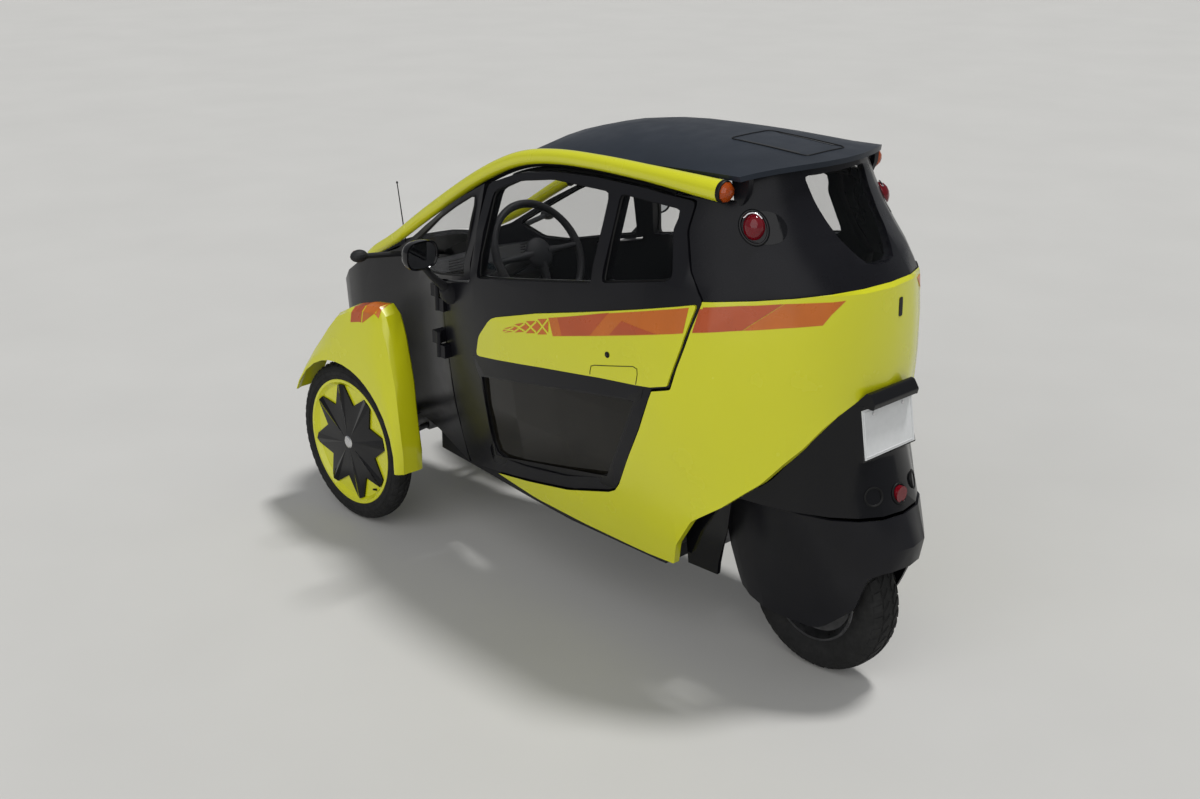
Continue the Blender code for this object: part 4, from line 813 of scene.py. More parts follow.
@dataclass
class SideStripes(Assembly):
    """Orange and brick red film stripes along the yellow band, on the doors and on the tail."""

    low: Profile = ((-0.02, 0.840), (0.082, 0.868), (0.255, 0.911), (0.413, 0.950), (0.559, 0.987),
                    (0.712, 1.024), (0.836, 1.049), (0.938, 1.063), (1.05, 1.072))
    high: Profile = ((-0.02, 0.874), (0.085, 0.923), (0.253, 0.968), (0.408, 1.012), (0.551, 1.049),
                     (0.703, 1.087), (0.828, 1.110), (0.931, 1.125), (1.05, 1.130))
    lift: float = 0.0010
    cell: float = 0.008
    step: float = 0.02

    def build(self) -> None:
        """Lay the film on both sides."""
        band = {
            ORANGE: [((0.225, 0.0), (0.690, 0.0), (0.697, 1.0), (0.205, 0.93)), *self.hatch(0.005, 0.205, 4)],
            BRICK: [((0.262, 0.02), (0.372, 0.02), (0.440, 0.98), (0.243, 0.92)),
                    ((0.447, 0.04), (0.610, 0.02), (0.490, 0.62))],
        }
        tail = {
            ORANGE: [((0.842, 0.0), (0.990, 0.05), (1.016, 1.0), (0.920, 1.0))],
            BRICK: [((0.716, 0.0), (0.840, 0.0), (0.918, 1.0), (0.728, 1.0))],
        }
        for side in Side:
            for where, shapes, body in ((f"door_band_{side.word}", band, side.door),
                                        ("tail_shell", tail, Body.CAR)):
                skin = Skin((where,))
                for level, (finish, outlines) in enumerate(shapes.items()):
                    film = joined([self.film(outline, skin, side, self.lift * (1 + level * 0.4))
                                   for outline in outlines])
                    self.piece(f"{finish.name}_{where}_{side.word}", film, finish, body)

    def hatch(self, start: float, end: float, bays: int) -> list[Profile]:
        """Return the small triangles between crossing lines, in bays from start to end."""
        shapes = []
        size = (end - start) / bays
        for k in range(bays):
            a = start + k * size
            b = a + size
            m = (a + b) / 2
            gap = size * 0.10
            low, high = 0.30 - 0.07 * k, 0.62 + 0.09 * k
            mid = (low + high) / 2
            shapes += [((a + gap, low), (b - gap, low), (m, mid - 0.08)),
                       ((a + gap, high), (m, mid + 0.08), (b - gap, high)),
                       ((a, low + 0.10), (m - gap, mid), (a, high - 0.10)),
                       ((b, low + 0.10), (b, high - 0.10), (m + gap, mid))]
        return shapes

    def level(self, y: float, share: float) -> float:
        """Return the height at a length and a share of the stripe's width."""
        low, high = (between(table, y) for table in (self.low, self.high))
        return low + (high - low) * share

    def film(self, outline: Sequence[Flat], skin: Skin, side: Side, lift: float) -> bmesh.types.BMesh:
        """Return one patch of film on the bodywork.

        Args:
            outline: Corners of the patch: length, and share of the stripe's width.
            skin: The bodywork under it.
            side: Side of the car.
            lift: How far it stands proud.

        Returns:
            The patch as a thin closed sheet.
        """
        edge = [(y, self.level(y, share)) for y, share in outlined(outline, self.step)]
        return laid(edge, self.cell, lambda a, b, rise: skin.beside(a, b, side, rise), lift)


def laid(outline: Sequence[Flat], cell: float, place: Callable[[float, float, float], Vector | None],
         lift: float, sunk: float = 0.0006) -> bmesh.types.BMesh:
    """Return a thin closed sheet over a surface.

    Args:
        outline: Its border in two coordinates.
        cell: Largest size of its faces.
        place: Gives the surface's point at two coordinates and a lift, or None past its edge.
        lift: Height of the sheet's outer face.
        sunk: Depth of its inner face.

    Returns:
        The sheet, whose inner face lies under the surface.
    """
    bm = bmesh.new()
    bm.faces.new([bm.verts.new((a, b, 0.0)) for a, b in outline])
    for axis, no in enumerate((Vector((1, 0, 0)), Vector((0, 1, 0)))):
        values = [point[axis] for point in outline]
        cut = math.floor(min(values) / cell) * cell + cell
        while cut < max(values):
            bmesh.ops.bisect_plane(bm, geom=bm.verts[:] + bm.edges[:] + bm.faces[:], plane_co=no * cut, plane_no=no)
            cut += cell
    bmesh.ops.triangulate(bm, faces=bm.faces)
    low = {}
    lost = []
    for vert in bm.verts:
        a, b = vert.co.x, vert.co.y
        top, under = place(a, b, lift), place(a, b, -sunk)
        if top is None or under is None:
            lost.append(vert)
        else:
            vert.co = top
            low[vert] = under
    bmesh.ops.delete(bm, geom=lost, context="VERTS")
    faces = bm.faces[:]
    border = [edge for edge in bm.edges if len(edge.link_faces) == 1]
    twin = {vert: bm.verts.new(low[vert]) for vert in list(bm.verts)}
    for face in faces:
        bm.faces.new([twin[vert] for vert in reversed(face.verts)])
    for edge in border:
        a, b = edge.verts
        bm.faces.new((a, b, twin[b], twin[a]))
    bmesh.ops.recalc_face_normals(bm, faces=bm.faces)
    return bm


@dataclass
class DoorTrim(Assembly):
    """Handle, lock, lower window border and pane seals of one side."""

    side: Side
    groove: float = 0.0011
    bead: float = 0.0042
    rim_facing: float = 0.55
    handle: Profile = ((0.371, 0.822), (0.372, 0.838), (0.378, 0.856), (0.392, 0.862), (0.470, 0.880),
                       (0.538, 0.896), (0.552, 0.893), (0.554, 0.878), (0.547, 0.848))
    keyhole: Flat = (0.441, 0.904)
    lock: Profile = ((-0.004, 0.0), (-0.004, 0.0085), (0.0012, 0.0085), (0.0020, 0.0072), (0.0006, 0.0060),
                     (0.0006, 0.0))
    slot_half: Point = (0.002, 0.0009, 0.0042)
    window_inner: Profile = ((-0.146, 0.409), (0.003, 0.425), (0.198, 0.460), (0.388, 0.520),
                             (0.496, 0.716), (0.531, 0.795), (0.300, 0.757), (-0.146, 0.676))
    window_outer: Profile = ((-0.178, 0.376), (0.004, 0.390), (0.210, 0.424), (0.412, 0.490),
                             (0.530, 0.710), (0.566, 0.838), (0.300, 0.803), (-0.178, 0.735))
    window_section: Profile = ((0.0, -0.0006), (0.0, 0.0010), (0.33, 0.0013), (0.66, 0.0013), (1.0, 0.0010),
                               (1.0, -0.0006), (0.5, -0.0006), (0.0, -0.0006))
    window_bays: int = 12

    def build(self) -> None:
        """Make the trim of this side."""
        word, body = self.side.word, self.side.door
        skin = Skin((f"door_band_{word}",))
        path = smoothed([Vector((0.0, y, z)) for y, z in self.handle], 0.008)
        line = hits(skin.beside(p.y, p.z, self.side, 0.0002) for p in path)
        self.piece(f"door_handle_groove_{word}", tube(line, self.groove, 8), SEAL, body)
        place, half = skin.beside(*self.keyhole, self.side), Vector(self.slot_half)
        out = Vector((self.side.value, 0.0, 0.0))
        self.piece(f"door_lock_{word}", lathe(self.lock, place, out, 24, closed=False), SEAL, body)
        self.piece(f"door_lock_slot_{word}", block(place - half, place + half, 0.0004), STEEL, body)
        self.border()
        for pane in ("door_glass_front", "door_glass_rear", "door_glass_lower", "quarter_glass"):
            rings = loops(f"{pane}_{word}", lambda normal: normal.x * self.side.value > self.rim_facing)
            seal = joined([tube(smoothed(ring, 0.02, closed=True), self.bead, 8, closed=True) for ring in rings])
            self.piece(f"{pane}_seal_{word}", seal, SEAL, Body.CAR if pane == "quarter_glass" else body)

    def border(self) -> None:
        """Make the gloss black border of the lower window, where the door's skin carries it."""
        skin = Skin((f"door_{self.side.word}",))
        edges = [[Vector((0.0, y, z)) for y, z in outline] for outline in (self.window_outer, self.window_inner)]
        outer, inner = ([start.lerp(end, i / self.window_bays) for start, end in zip(edge, edge[1:] + edge[:1])
                         for i in range(self.window_bays)] for edge in edges)
        rows = []
        for share, lift in self.window_section:
            places = [a.lerp(b, share) for a, b in zip(outer, inner)]
            rows.append([skin.beside(place.y, place.z, self.side, lift) for place in places])
        whole = [k for k in range(len(rows[0])) if all(row[k] is not None for row in rows)]
        log.info("window border: %d of %d points", len(whole), len(rows[0]))
        bm = loft([[row[k] for k in whole] for row in rows], wrap=True)
        bmesh.ops.remove_doubles(bm, verts=bm.verts, dist=1e-6)
        bmesh.ops.recalc_face_normals(bm, faces=bm.faces)
        self.piece(f"lower_window_border_{self.side.word}", bm, SHADE, self.side.door)


@dataclass
class Tyre(Assembly):
    """Tyre turned from half its section, with tread blocks in rows round it."""

    name: str
    body: Body
    half: Profile
    height: float
    rows: tuple[Point, ...]
    count: int
    crown: int = 6
    share: float = 0.66
    taper: float = 0.86
    sunk: float = 0.002

    def build(self, centre: Vector, out: Vector) -> None:
        """Make the carcass and the tread about a wheel's middle."""
        carcass = lathe(mirrored(self.half), centre, out, 96)
        self.piece(f"{self.name}_carcass", carcass, RUBBER, self.body, replaces=(self.name,))
        self.piece(f"{self.name}_tread", self.tread(centre), RUBBER, self.body, crease=20)

    def tread(self, centre: Vector) -> bmesh.types.BMesh:
        """Return the blocks of all rows, on a tyre whose axle lies along x."""
        crown = mirrored(self.half[:self.crown])
        pitch = TURN / self.count
        parts = []
        for low, high, slant in self.rows:
            rings = []
            for along in (low, (low + high) / 2, high):
                twist = slant * (along - low) / (high - low) * pitch
                ground = between(crown, along)
                ring = []
                for radius, shrink in ((ground - self.sunk, 1.0), (ground + self.height, self.taper)):
                    for end in (-0.5, 0.5):
                        angle = twist + end * pitch * self.share * shrink
                        ring.append(Vector((along, radius * math.sin(angle), radius * math.cos(angle))))
                rings.append([ring[0], ring[1], ring[3], ring[2]])
            parts.append(RING.spread(loft(rings, wrap=True, caps=True), self.count, centre, ALONG_X, TURN, RUBBER))
        return joined(parts)


@dataclass
class FrontWheel(Assembly):
    """Front wheel: yellow disc under a dark faceted star, tyre, brake disc and hub."""

    side: Side
    place: Point = (0.370, -0.812, 0.275)
    tip_radius: float = 0.198
    root_radius: float = 0.133
    tip_half: float = 0.0175
    arms: int = 8
    turned: float = -0.22
    hub_radius: float = 0.021
    star_back: float = 0.0212
    tyre: Profile = ((0.0, 0.2715), (0.010, 0.2708), (0.022, 0.2672), (0.032, 0.2590), (0.0375, 0.2480),
                     (0.0395, 0.2380), (0.0380, 0.2270), (0.0330, 0.2165), (0.0290, 0.2140))
    tread: tuple[Point, ...] = ((-0.034, -0.022, 0.3), (-0.018, -0.003, 0.7), (0.003, 0.018, 0.7),
                                (0.022, 0.034, 0.3))
    ribs: Profile = ((0.0382, 0.2270), (0.0388, 0.2430))
    disc: Profile = ((0.0300, 0.2165), (0.0335, 0.2150), (0.0335, 0.2060), (0.0260, 0.1990), (0.0215, 0.1930),
                     (0.0200, 0.1200), (0.0210, 0.0), (0.0100, 0.0), (0.0090, 0.1200), (0.0100, 0.1880),
                     (-0.0260, 0.1960), (-0.0340, 0.2060), (-0.0340, 0.2150), (-0.0300, 0.2165),
                     (-0.0200, 0.2110), (0.0200, 0.2110))
    brake: Profile = ((-0.0330, 0.112), (-0.0330, 0.052), (-0.0370, 0.052), (-0.0370, 0.112))
    bell: Profile = ((0.009, 0.0), (0.009, 0.030), (-0.030, 0.050), (-0.036, 0.056), (-0.039, 0.054),
                     (-0.040, 0.026), (-0.052, 0.022), (-0.054, 0.0))

    @property
    def centre(self) -> Vector:
        """Middle of the wheel."""
        return Vector((self.side.value * self.place[0], *self.place[1:]))

    @property
    def out(self) -> Vector:
        """Direction away from the car."""
        return Vector((self.side.value, 0.0, 0.0))

    def build(self) -> None:
        """Make the wheel's pieces."""
        word, body, centre, out = self.side.word, self.side.wheel, self.centre, self.out
        Tyre(f"front_tyre_{word}", body, self.tyre, 0.0026, self.tread, 54).build(centre, out)
        ribs = joined([lathe([(a, r), (a + 0.0012, r + 0.0012), (a, r + 0.0030)], centre, out, 96)
                       for a, r in self.ribs])
        self.piece(f"front_tyre_{word}_wall_ribs", ribs, RUBBER, body)
        self.piece(f"front_wheel_{word}_disc", lathe(self.disc, centre, out, 96), LIME, body,
                   replaces=(f"front_wheel_{word}",))
        self.piece(f"front_wheel_{word}_star", self.star(), SHADE, body, crease=6)
        cap = lathe([(0.030, 0.0), (0.030, self.hub_radius + 0.002), (0.0372, self.hub_radius), (0.0392, 0.0165),
                     (0.0384, 0.0140), (0.0400, 0.0)], centre, out, 40, closed=False)
        self.piece(f"front_wheel_{word}_hub", cap, BRIGHT, body)
        brake = joined([lathe(self.brake, centre, out, 64), lathe(self.bell, centre, out, 40, closed=False)])
        self.piece(f"front_brake_disc_{word}", brake, STEEL, body)
        nut = hexagon_bolt(0.0065, 0.008, -out)
        bmesh.ops.translate(nut, vec=(-self.side.value * 0.0385, 0.036, 0.0), verts=nut.verts)
        self.piece(f"front_wheel_nuts_{word}", RING.spread(nut, 4, centre, ALONG_X, TURN, BRIGHT), BRIGHT, body)
        valve = tube([centre + out * 0.020 + Vector((0, 0.128, -0.138)),
                      centre + out * 0.034 + Vector((0, 0.124, -0.134))], [0.0042, 0.0030], 10)
        self.piece(f"front_valve_{word}", valve, SEAL, body)

    def star(self) -> bmesh.types.BMesh:
        """Return the faceted star plate, closed behind."""
        bm = bmesh.new()
        step = TURN / self.arms

        def ring(radius: float, along: float, lateral: float = 0.0, shift: float = 0.0) -> list[bmesh.types.BMVert]:
            """Return one vertex for each arm, at the same place about it."""
            verts = []
            for k in range(self.arms):
                angle = (k + shift) * step + self.turned
                radial = Vector((0.0, math.sin(angle), math.cos(angle)))
                tangent = Vector((0.0, math.cos(angle), -math.sin(angle)))
                verts.append(bm.verts.new(self.centre + self.out * along + radial * radius + tangent * lateral))
            return verts

        hub = ring(self.hub_radius + 0.004, 0.0365)
        tip = ring(self.tip_radius, 0.0335)
        left, right = (ring(self.tip_radius - 0.004, 0.0275, half) for half in (-self.tip_half, self.tip_half))
        root = ring(self.root_radius, 0.0270, shift=0.5)
        top = []
        for k in range(self.arms):
            for others in ((tip[k], left[k]), (left[k], root[k - 1]), (right[k], tip[k]), (root[k], right[k]),
                               (root[k], hub[(k + 1) % self.arms])):
                bm.faces.new((hub[k], *others))
            top += [left[k], tip[k], right[k], root[k]]
        bm.faces.new(hub)
        back = [bm.verts.new(vert.co - self.out * ((vert.co - self.centre).dot(self.out) - self.star_back))
                for vert in top]
        for k, vert in enumerate(top):
            after = (k + 1) % len(top)
            bm.faces.new((vert, top[after], back[after], back[k]))
        bm.faces.new(back)
        bmesh.ops.recalc_face_normals(bm, faces=bm.faces)
        return bm


@dataclass
class RearWheel(Assembly):
    """Rear wheel: wide tyre on a dished steel wheel with its bolts."""

    centre: Point = (0.0, 0.888, 0.235)
    tyre: Profile = ((0.0, 0.2318), (0.018, 0.2310), (0.036, 0.2262), (0.050, 0.2150), (0.0585, 0.1960),
                     (0.0598, 0.1800), (0.0570, 0.1600), (0.0500, 0.1420), (0.0440, 0.1390))
    tread: tuple[Point, ...] = ((-0.052, -0.036, 0.2), (-0.030, -0.008, 0.8), (0.008, 0.030, 0.8),
                                (0.036, 0.052, 0.2))
    disc: Profile = ((0.0500, 0.1420), (0.0515, 0.1400), (0.0515, 0.1340), (0.0430, 0.1280), (0.0300, 0.1180),
                     (0.0260, 0.0800), (0.0300, 0.0420), (0.0480, 0.0380), (0.0505, 0.0), (-0.0505, 0.0),
                     (-0.0480, 0.0600), (-0.0400, 0.0850), (-0.0300, 0.1180), (-0.0430, 0.1280),
                     (-0.0515, 0.1340), (-0.0515, 0.1400), (-0.0500, 0.1420), (-0.0400, 0.1380), (0.0400, 0.1380))

    def build(self) -> None:
        """Make the wheel's pieces."""
        centre, out, body = Vector(self.centre), Vector(ALONG_X), Body.REAR_WHEEL
        Tyre("rear_tyre", body, self.tyre, 0.0030, self.tread, 40).build(centre, out)
        self.piece("rear_wheel_disc", lathe(self.disc, centre, out, 80, closed=False), STEEL, body,
                   replaces=("rear_wheel",))
        bolt = hexagon_bolt(0.0070, 0.009, out)
        bmesh.ops.translate(bolt, vec=(0.0268, 0.0, 0.060), verts=bolt.verts)
        self.piece("rear_wheel_bolts", RING.spread(bolt, 5, centre, ALONG_X, TURN, BRIGHT), BRIGHT, body)


@dataclass
class Fender(Assembly):
    """Film patches of one front mudguard."""

    side: Side
    lift: float = 0.0010
    patches: tuple[tuple[Finish, Profile], ...] = (
        (ORANGE, ((0.350, -0.684), (0.414, -0.684), (0.406, -0.604), (0.350, -0.612))),
        (BRICK, ((0.350, -0.752), (0.414, -0.748), (0.414, -0.690), (0.350, -0.690))))

    def build(self) -> None:
        """Lay the film on the mudguard."""
        skin = Skin((f"front_fender_{self.side.word}",))

        def over(a: float, b: float, rise: float) -> Vector | None:
            """Return the top of the mudguard over a place."""
            return skin.above(a * self.side.value, b, rise)

        for finish, outline in self.patches:
            film = laid(outlined(outline, 0.012), 0.008, over, self.lift)
            self.piece(f"{finish.name}_fender_{self.side.word}", film, finish, Body.CAR)


@dataclass
class Mirror(Assembly):
    """Door mirror: rounded housing, recessed glass, arm and foot."""

    side: Side
    centre: Point = (0.489, -0.273, 1.050)
    half: Flat = (0.056, 0.043)
    housing: tuple[Point, ...] = (
        (0.0175, 0.80, 2.6), (0.0175, 0.90, 2.8), (0.0215, 0.955, 3.0), (0.0215, 1.0, 3.0), (0.012, 1.0, 3.0),
        (0.000, 0.985, 2.8), (-0.010, 0.93, 2.6), (-0.017, 0.78, 2.4), (-0.0205, 0.50, 2.2), (-0.0215, 0.20, 2.0))
    glass: tuple[Point, ...] = ((0.0176, 0.885, 2.8), (0.0188, 0.880, 2.8))
    arm: tuple[tuple[float, ...], ...] = (
        (0.372, -0.290, 0.915, 0.0150), (0.405, -0.284, 0.944, 0.0125), (0.440, -0.279, 0.975, 0.0105),
        (0.466, -0.277, 1.005, 0.0098), (0.478, -0.276, 1.028, 0.0110))
    foot: tuple[tuple[float, ...], ...] = (
        (0.352, -0.296, 0.898, 0.034), (0.368, -0.293, 0.906, 0.029), (0.388, -0.288, 0.925, 0.016))

    def build(self) -> None:
        """Make the mirror's pieces."""
        word, body = self.side.word, self.side.door
        housing, glass = (loft([self.ring(*section) for section in sections], wrap=True, caps=True)
                          for sections in (self.housing, self.glass))
        self.piece(f"mirror_housing_{word}", self.sided(housing), SHADE, body, crease=45,
                   replaces=(f"mirror_{word}",))
        self.piece(f"mirror_glass_{word}", self.sided(glass), MIRRORED, body)
        stems = joined([tube([Vector(stop[:3]) for stop in stops], [stop[3] for stop in stops], sides)
                        for stops, sides in ((self.arm, 16), (self.foot, 20))])
        self.piece(f"mirror_arm_{word}", self.sided(stems), MOULDING, body)

    def ring(self, back: float, share: float, power: float) -> list[Vector]:
        """Return one rounded section of the housing."""
        cx, cy, cz = self.centre
        points = []
        for angle in angles(40):
            c, s = math.cos(angle), math.sin(angle)
            reach = (abs(c) ** power + abs(s) ** power) ** (-1.0 / power) * share
            points.append(Vector((cx + c * self.half[0] * reach, cy + back, cz + s * self.half[1] * reach)))
        return points

    def sided(self, bm: bmesh.types.BMesh) -> bmesh.types.BMesh:
        """Return a mesh on this mirror's side of the car."""
        return bm if self.side is Side.LEFT else flipped(bm)


@dataclass
class Lamps(Assembly):
    """Lenses, bezels and reflectors of every lamp. The places are those of the left side."""

    tail: Point = (0.254, 0.800, 1.292)
    tail_out: Point = (0.45, 0.89, 0.05)
    tail_bezel: Flat = (0.031, 0.040)
    tail_arc: Flat = (0.025, 0.033)
    arc_span: Flat = (35.0, 145.0)
    # Half sizes and inward shift of the flat gloss black oval round the tail lamp: painted shade of the recess the
    # lamp sits in.
    recess: Flat = (0.050, 0.039)
    recess_inward: float = 0.026
    rail: Point = (0.299, 0.738, 1.379)
    rail_out: Point = (-0.02, 1.0, -0.04)
    rail_lens: Profile = ((0.0, 0.0), (0.0, 0.0265), (0.010, 0.0255), (0.018, 0.0175), (0.0215, 0.0080),
                          (0.0220, 0.0))
    rail_rim: Profile = ((-0.006, 0.0292), (0.0035, 0.0296), (0.0060, 0.0280), (0.0060, 0.0255), (-0.006, 0.0255))
    rail_core: Profile = ((0.0006, 0.0), (0.0006, 0.024), (0.0016, 0.024), (0.0070, 0.008), (0.0080, 0.0))
    head: Flat = (0.095, 0.640)
    head_half: Flat = (0.044, 0.059)
    indicator_place: Flat = (0.400, 0.940)
    indicator_face: Profile = ((-0.004, 0.0), (-0.004, 0.014), (0.002, 0.0135), (0.0038, 0.009), (0.0042, 0.0))

    def build(self) -> None:
        """Make the lamps' pieces."""
        for side in Side:
            self.tail_lamp(side)
            self.rail_lamp(side)
            self.headlamp(side)
            self.indicator(side)

    def tail_lamp(self, side: Side) -> None:
        """Make one tail lamp's bezel, arc, and the flat gloss black oval painted as the shade of its recess."""
        sign, name = side.value, f"tail_lamp_{side.word}"
        self.lens(name, RED)
        skin = Skin(("rear_upper_shell",))
        centre, out = Vector(self.tail), Vector(self.tail_out)
        centre.x *= sign
        out.x *= sign
        out.normalize()
        level = Vector((0, 0, 1)).cross(out).normalized()
        up = out.cross(level)

        def surface(a: float, b: float, lift: float) -> Vector | None:
            """Return the shell's point at a place about the lamp, seen along its axis."""
            return skin.cast(centre + level * a + up * b + out * 0.3, -out, lift)

        def oval(half: Flat, sweep: Sequence[float], lift: float) -> list[Vector]:
            """Return points of an oval about the lamp, on the shell."""
            return hits(surface(half[0] * math.cos(a), half[1] * math.sin(a), lift) for a in sweep)

        bezel = oval(self.tail_bezel, angles(48), 0.001)
        self.piece(f"{name}_bezel", tube(bezel, 0.0042, 10, closed=True), SHADE, Body.CAR)
        start, end = (math.radians(angle) for angle in self.arc_span)
        arc = oval(self.tail_arc, [start + (end - start) * k / 20 for k in range(20)], 0.014)
        self.piece(f"{name}_arc", tube(arc, 0.0022, 8), BRIGHT, Body.CAR)
        # A flat gloss black oval laid on the shell: painted shade of the lamp's recess.
        patch = [(sign * self.recess_inward + self.recess[0] * math.cos(a), self.recess[1] * math.sin(a))
                 for a in angles(40)]
        self.piece(f"{name}_recess", laid(patch, 0.008, surface, 0.0008), SHADE, Body.CAR)

    def rail_lamp(self, side: Side) -> None:
        """Make one rail end's faceted amber lens and its dark rim."""
        name = f"rail_lamp_{side.word}"
        centre = Vector((side.value * self.rail[0], *self.rail[1:]))
        out = Vector((self.rail_out[0] * side.value, *self.rail_out[1:])).normalized()
        lens = lathe(self.rail_lens, centre, out, 10, closed=False)
        self.piece(f"{name}_lens", lens, AMBER, Body.CAR, crease=8, replaces=(name,))
        self.piece(f"{name}_rim", lathe(self.rail_rim, centre, out, 36), SEAL, Body.CAR)
        self.piece(f"{name}_core", lathe(self.rail_core, centre, out, 20, closed=False), BRIGHT, Body.CAR)

    def headlamp(self, side: Side) -> None:
        """Make one headlamp's lens and bezel."""
        name = f"headlamp_{side.word}"
        self.lens(name, CLEAR)
        skin = Skin(("nose_shell",))
        path = hits(skin.cast(Vector((side.value * self.head[0] + self.head_half[0] * math.cos(a), -2.0,
                                      self.head[1] + self.head_half[1] * math.sin(a))), Vector((0, 1, 0)), 0.0005)
                    for a in angles(48))
        self.piece(f"{name}_bezel", tube(path, 0.0040, 10, closed=True), BRIGHT, Body.CAR)

    def indicator(self, side: Side) -> None:
        """Make one indicator's amber face."""
        name = f"indicator_{side.word}"
        across_car, height = self.indicator_place
        centre = Vector((side.value * across_car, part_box(name)[0][1] + 0.004, height))
        face = lathe(self.indicator_face, centre, Vector((0.0, -1.0, 0.0)), 28, closed=False)
        self.piece(f"{name}_face", face, AMBER, Body.CAR)


@dataclass
class RearTrim(Assembly):
    """Number plate frame, bolts, reflector ring and dark recesses of the rear fairing, and the latch slot."""

    top: Flat = (1.0530, 0.835)
    foot: Flat = (1.0745, 0.705)
    half: float = 0.105
    inset: float = 0.006
    proud: float = 0.0035
    bolts: Flat = (-0.062, 0.062)
    reflector_height: float = 0.595
    reflector_radius: float = 0.0255
    recess: Flat = (0.084, 0.604)
    recess_out: Point = (0.49, 0.84, 0.24)
    recess_section: Profile = ((-0.006, 0.0), (-0.006, 0.0265), (0.0022, 0.0265), (0.0030, 0.0245),
                               (0.0010, 0.0215), (-0.0015, 0.0205), (-0.0015, 0.0))
    slot: tuple[Point, ...] = ((-0.048, 1.056, 0.006), (-0.031, 1.056, 0.006), (-0.031, 1.106, 0.006),
                               (-0.048, 1.106, 0.006))

    def build(self) -> None:
        """Make the trim of the tail."""
        start = Vector((0.0, *self.top))
        slope = Vector((0.0, self.foot[0] - self.top[0], self.foot[1] - self.top[1]))
        out = Vector((0.0, -slope.z, slope.y)).normalized()

        def at(x: float, share: float) -> Vector:
            """Return a point on the plate's face."""
            return Vector((x, start.y, start.z)) + slope * share + out * self.proud

        edge = self.half - self.inset
        inner = [at(-edge, 0.05), at(edge, 0.05), at(edge, 0.95), at(-edge, 0.95)]
        border = tube(smoothed(inner, 0.01, closed=True), 0.0011, 8, closed=True)
        self.piece("plate_border", border, PLATE, Body.CAR)
        for k, x in enumerate(self.bolts):
            bolt = hexagon_bolt(0.0050, 0.0045, out)
            bmesh.ops.translate(bolt, vec=at(x, 0.13) - out * 0.002, verts=bolt.verts)
            self.piece(f"plate_bolt_{k + 1}", bolt, BRIGHT, Body.CAR)
        fairing = Skin(("rear_fairing", "rear_reflector"))
        ring = hits(fairing.behind(self.reflector_radius * math.cos(a),
                                   self.reflector_height + self.reflector_radius * math.sin(a), 0.0005)
                    for a in angles(40))
        self.piece("reflector_ring", tube(ring, 0.0034, 10, closed=True), SEAL, Body.CAR)
        self.lens("rear_reflector", RED)
        for side in Side:
            place = fairing.behind(side.value * self.recess[0], self.recess[1])
            facing = Vector((side.value * self.recess_out[0], *self.recess_out[1:])).normalized()
            hole = lathe(self.recess_section, place, facing, 40, closed=False)
            self.piece(f"round_recess_{side.word}", hole, SEAL, Body.CAR)
        latch = laid(rounded(self.slot), 0.01, Skin(("tail_shell",)).behind, 0.0012)
        self.piece("tail_latch_slot", latch, SEAL, Body.CAR)


@dataclass
class RoofTrim(Assembly):
    """Groove of the roof, gloss black bands painted as the shadow in its recess, and the aerial on the nose."""

    groove: tuple[Point, ...] = ((-0.080, 0.555, 0.02), (0.080, 0.555, 0.02), (0.080, 0.815, 0.02),
                                 (-0.080, 0.815, 0.02))
    # Corners of a flat gloss black band inside each side of the groove: painted shadow of the roof's recess.
    recess: Profile = ((0.079, 0.575), (0.080, 0.795), (0.066, 0.780), (0.070, 0.600))
    mast_foot: Flat = (0.200, -0.640)
    mast_tip: Point = (0.200, -0.757, 1.135)
    mast_base: Profile = ((-0.004, 0.0), (-0.004, 0.011), (0.003, 0.010), (0.010, 0.0045), (0.016, 0.0038),
                          (0.017, 0.0))
    mast_knob: Profile = ((-0.0045, 0.0), (-0.003, 0.0026), (0.0, 0.0036), (0.003, 0.0026), (0.0045, 0.0))

    def build(self) -> None:
        """Make the trim of the roof and nose."""
        roof = Skin(("roof_panel",))
        line = hits(roof.above(x, y, 0.0002) for x, y in outlined(rounded(self.groove), 0.012))
        self.piece("roof_groove", tube(line, 0.0022, 8, closed=True), SEAL, Body.CAR)
        # Lay the painted shadow of the recess as flat gloss black bands along the groove's sides.
        for side in Side:
            edge = outlined([(side.value * x, y) for x, y in self.recess], 0.02)
            self.piece(f"roof_recess_{side.word}", laid(edge, 0.02, roof.above, 0.0008), SHADE, Body.CAR)
        foot, tip = Skin(("nose_shell",)).above(*self.mast_foot), Vector(self.mast_tip)
        along = (tip - foot).normalized()
        mast = tube([foot - Vector((0, 0, 0.004)), foot.lerp(tip, 0.5), tip], [0.0042, 0.0026, 0.0016], 10)
        self.piece("aerial", joined([mast, lathe(self.mast_base, foot, along, 24, closed=False),
                                     lathe(self.mast_knob, tip, along, 16, closed=False)]), SEAL, Body.CAR)


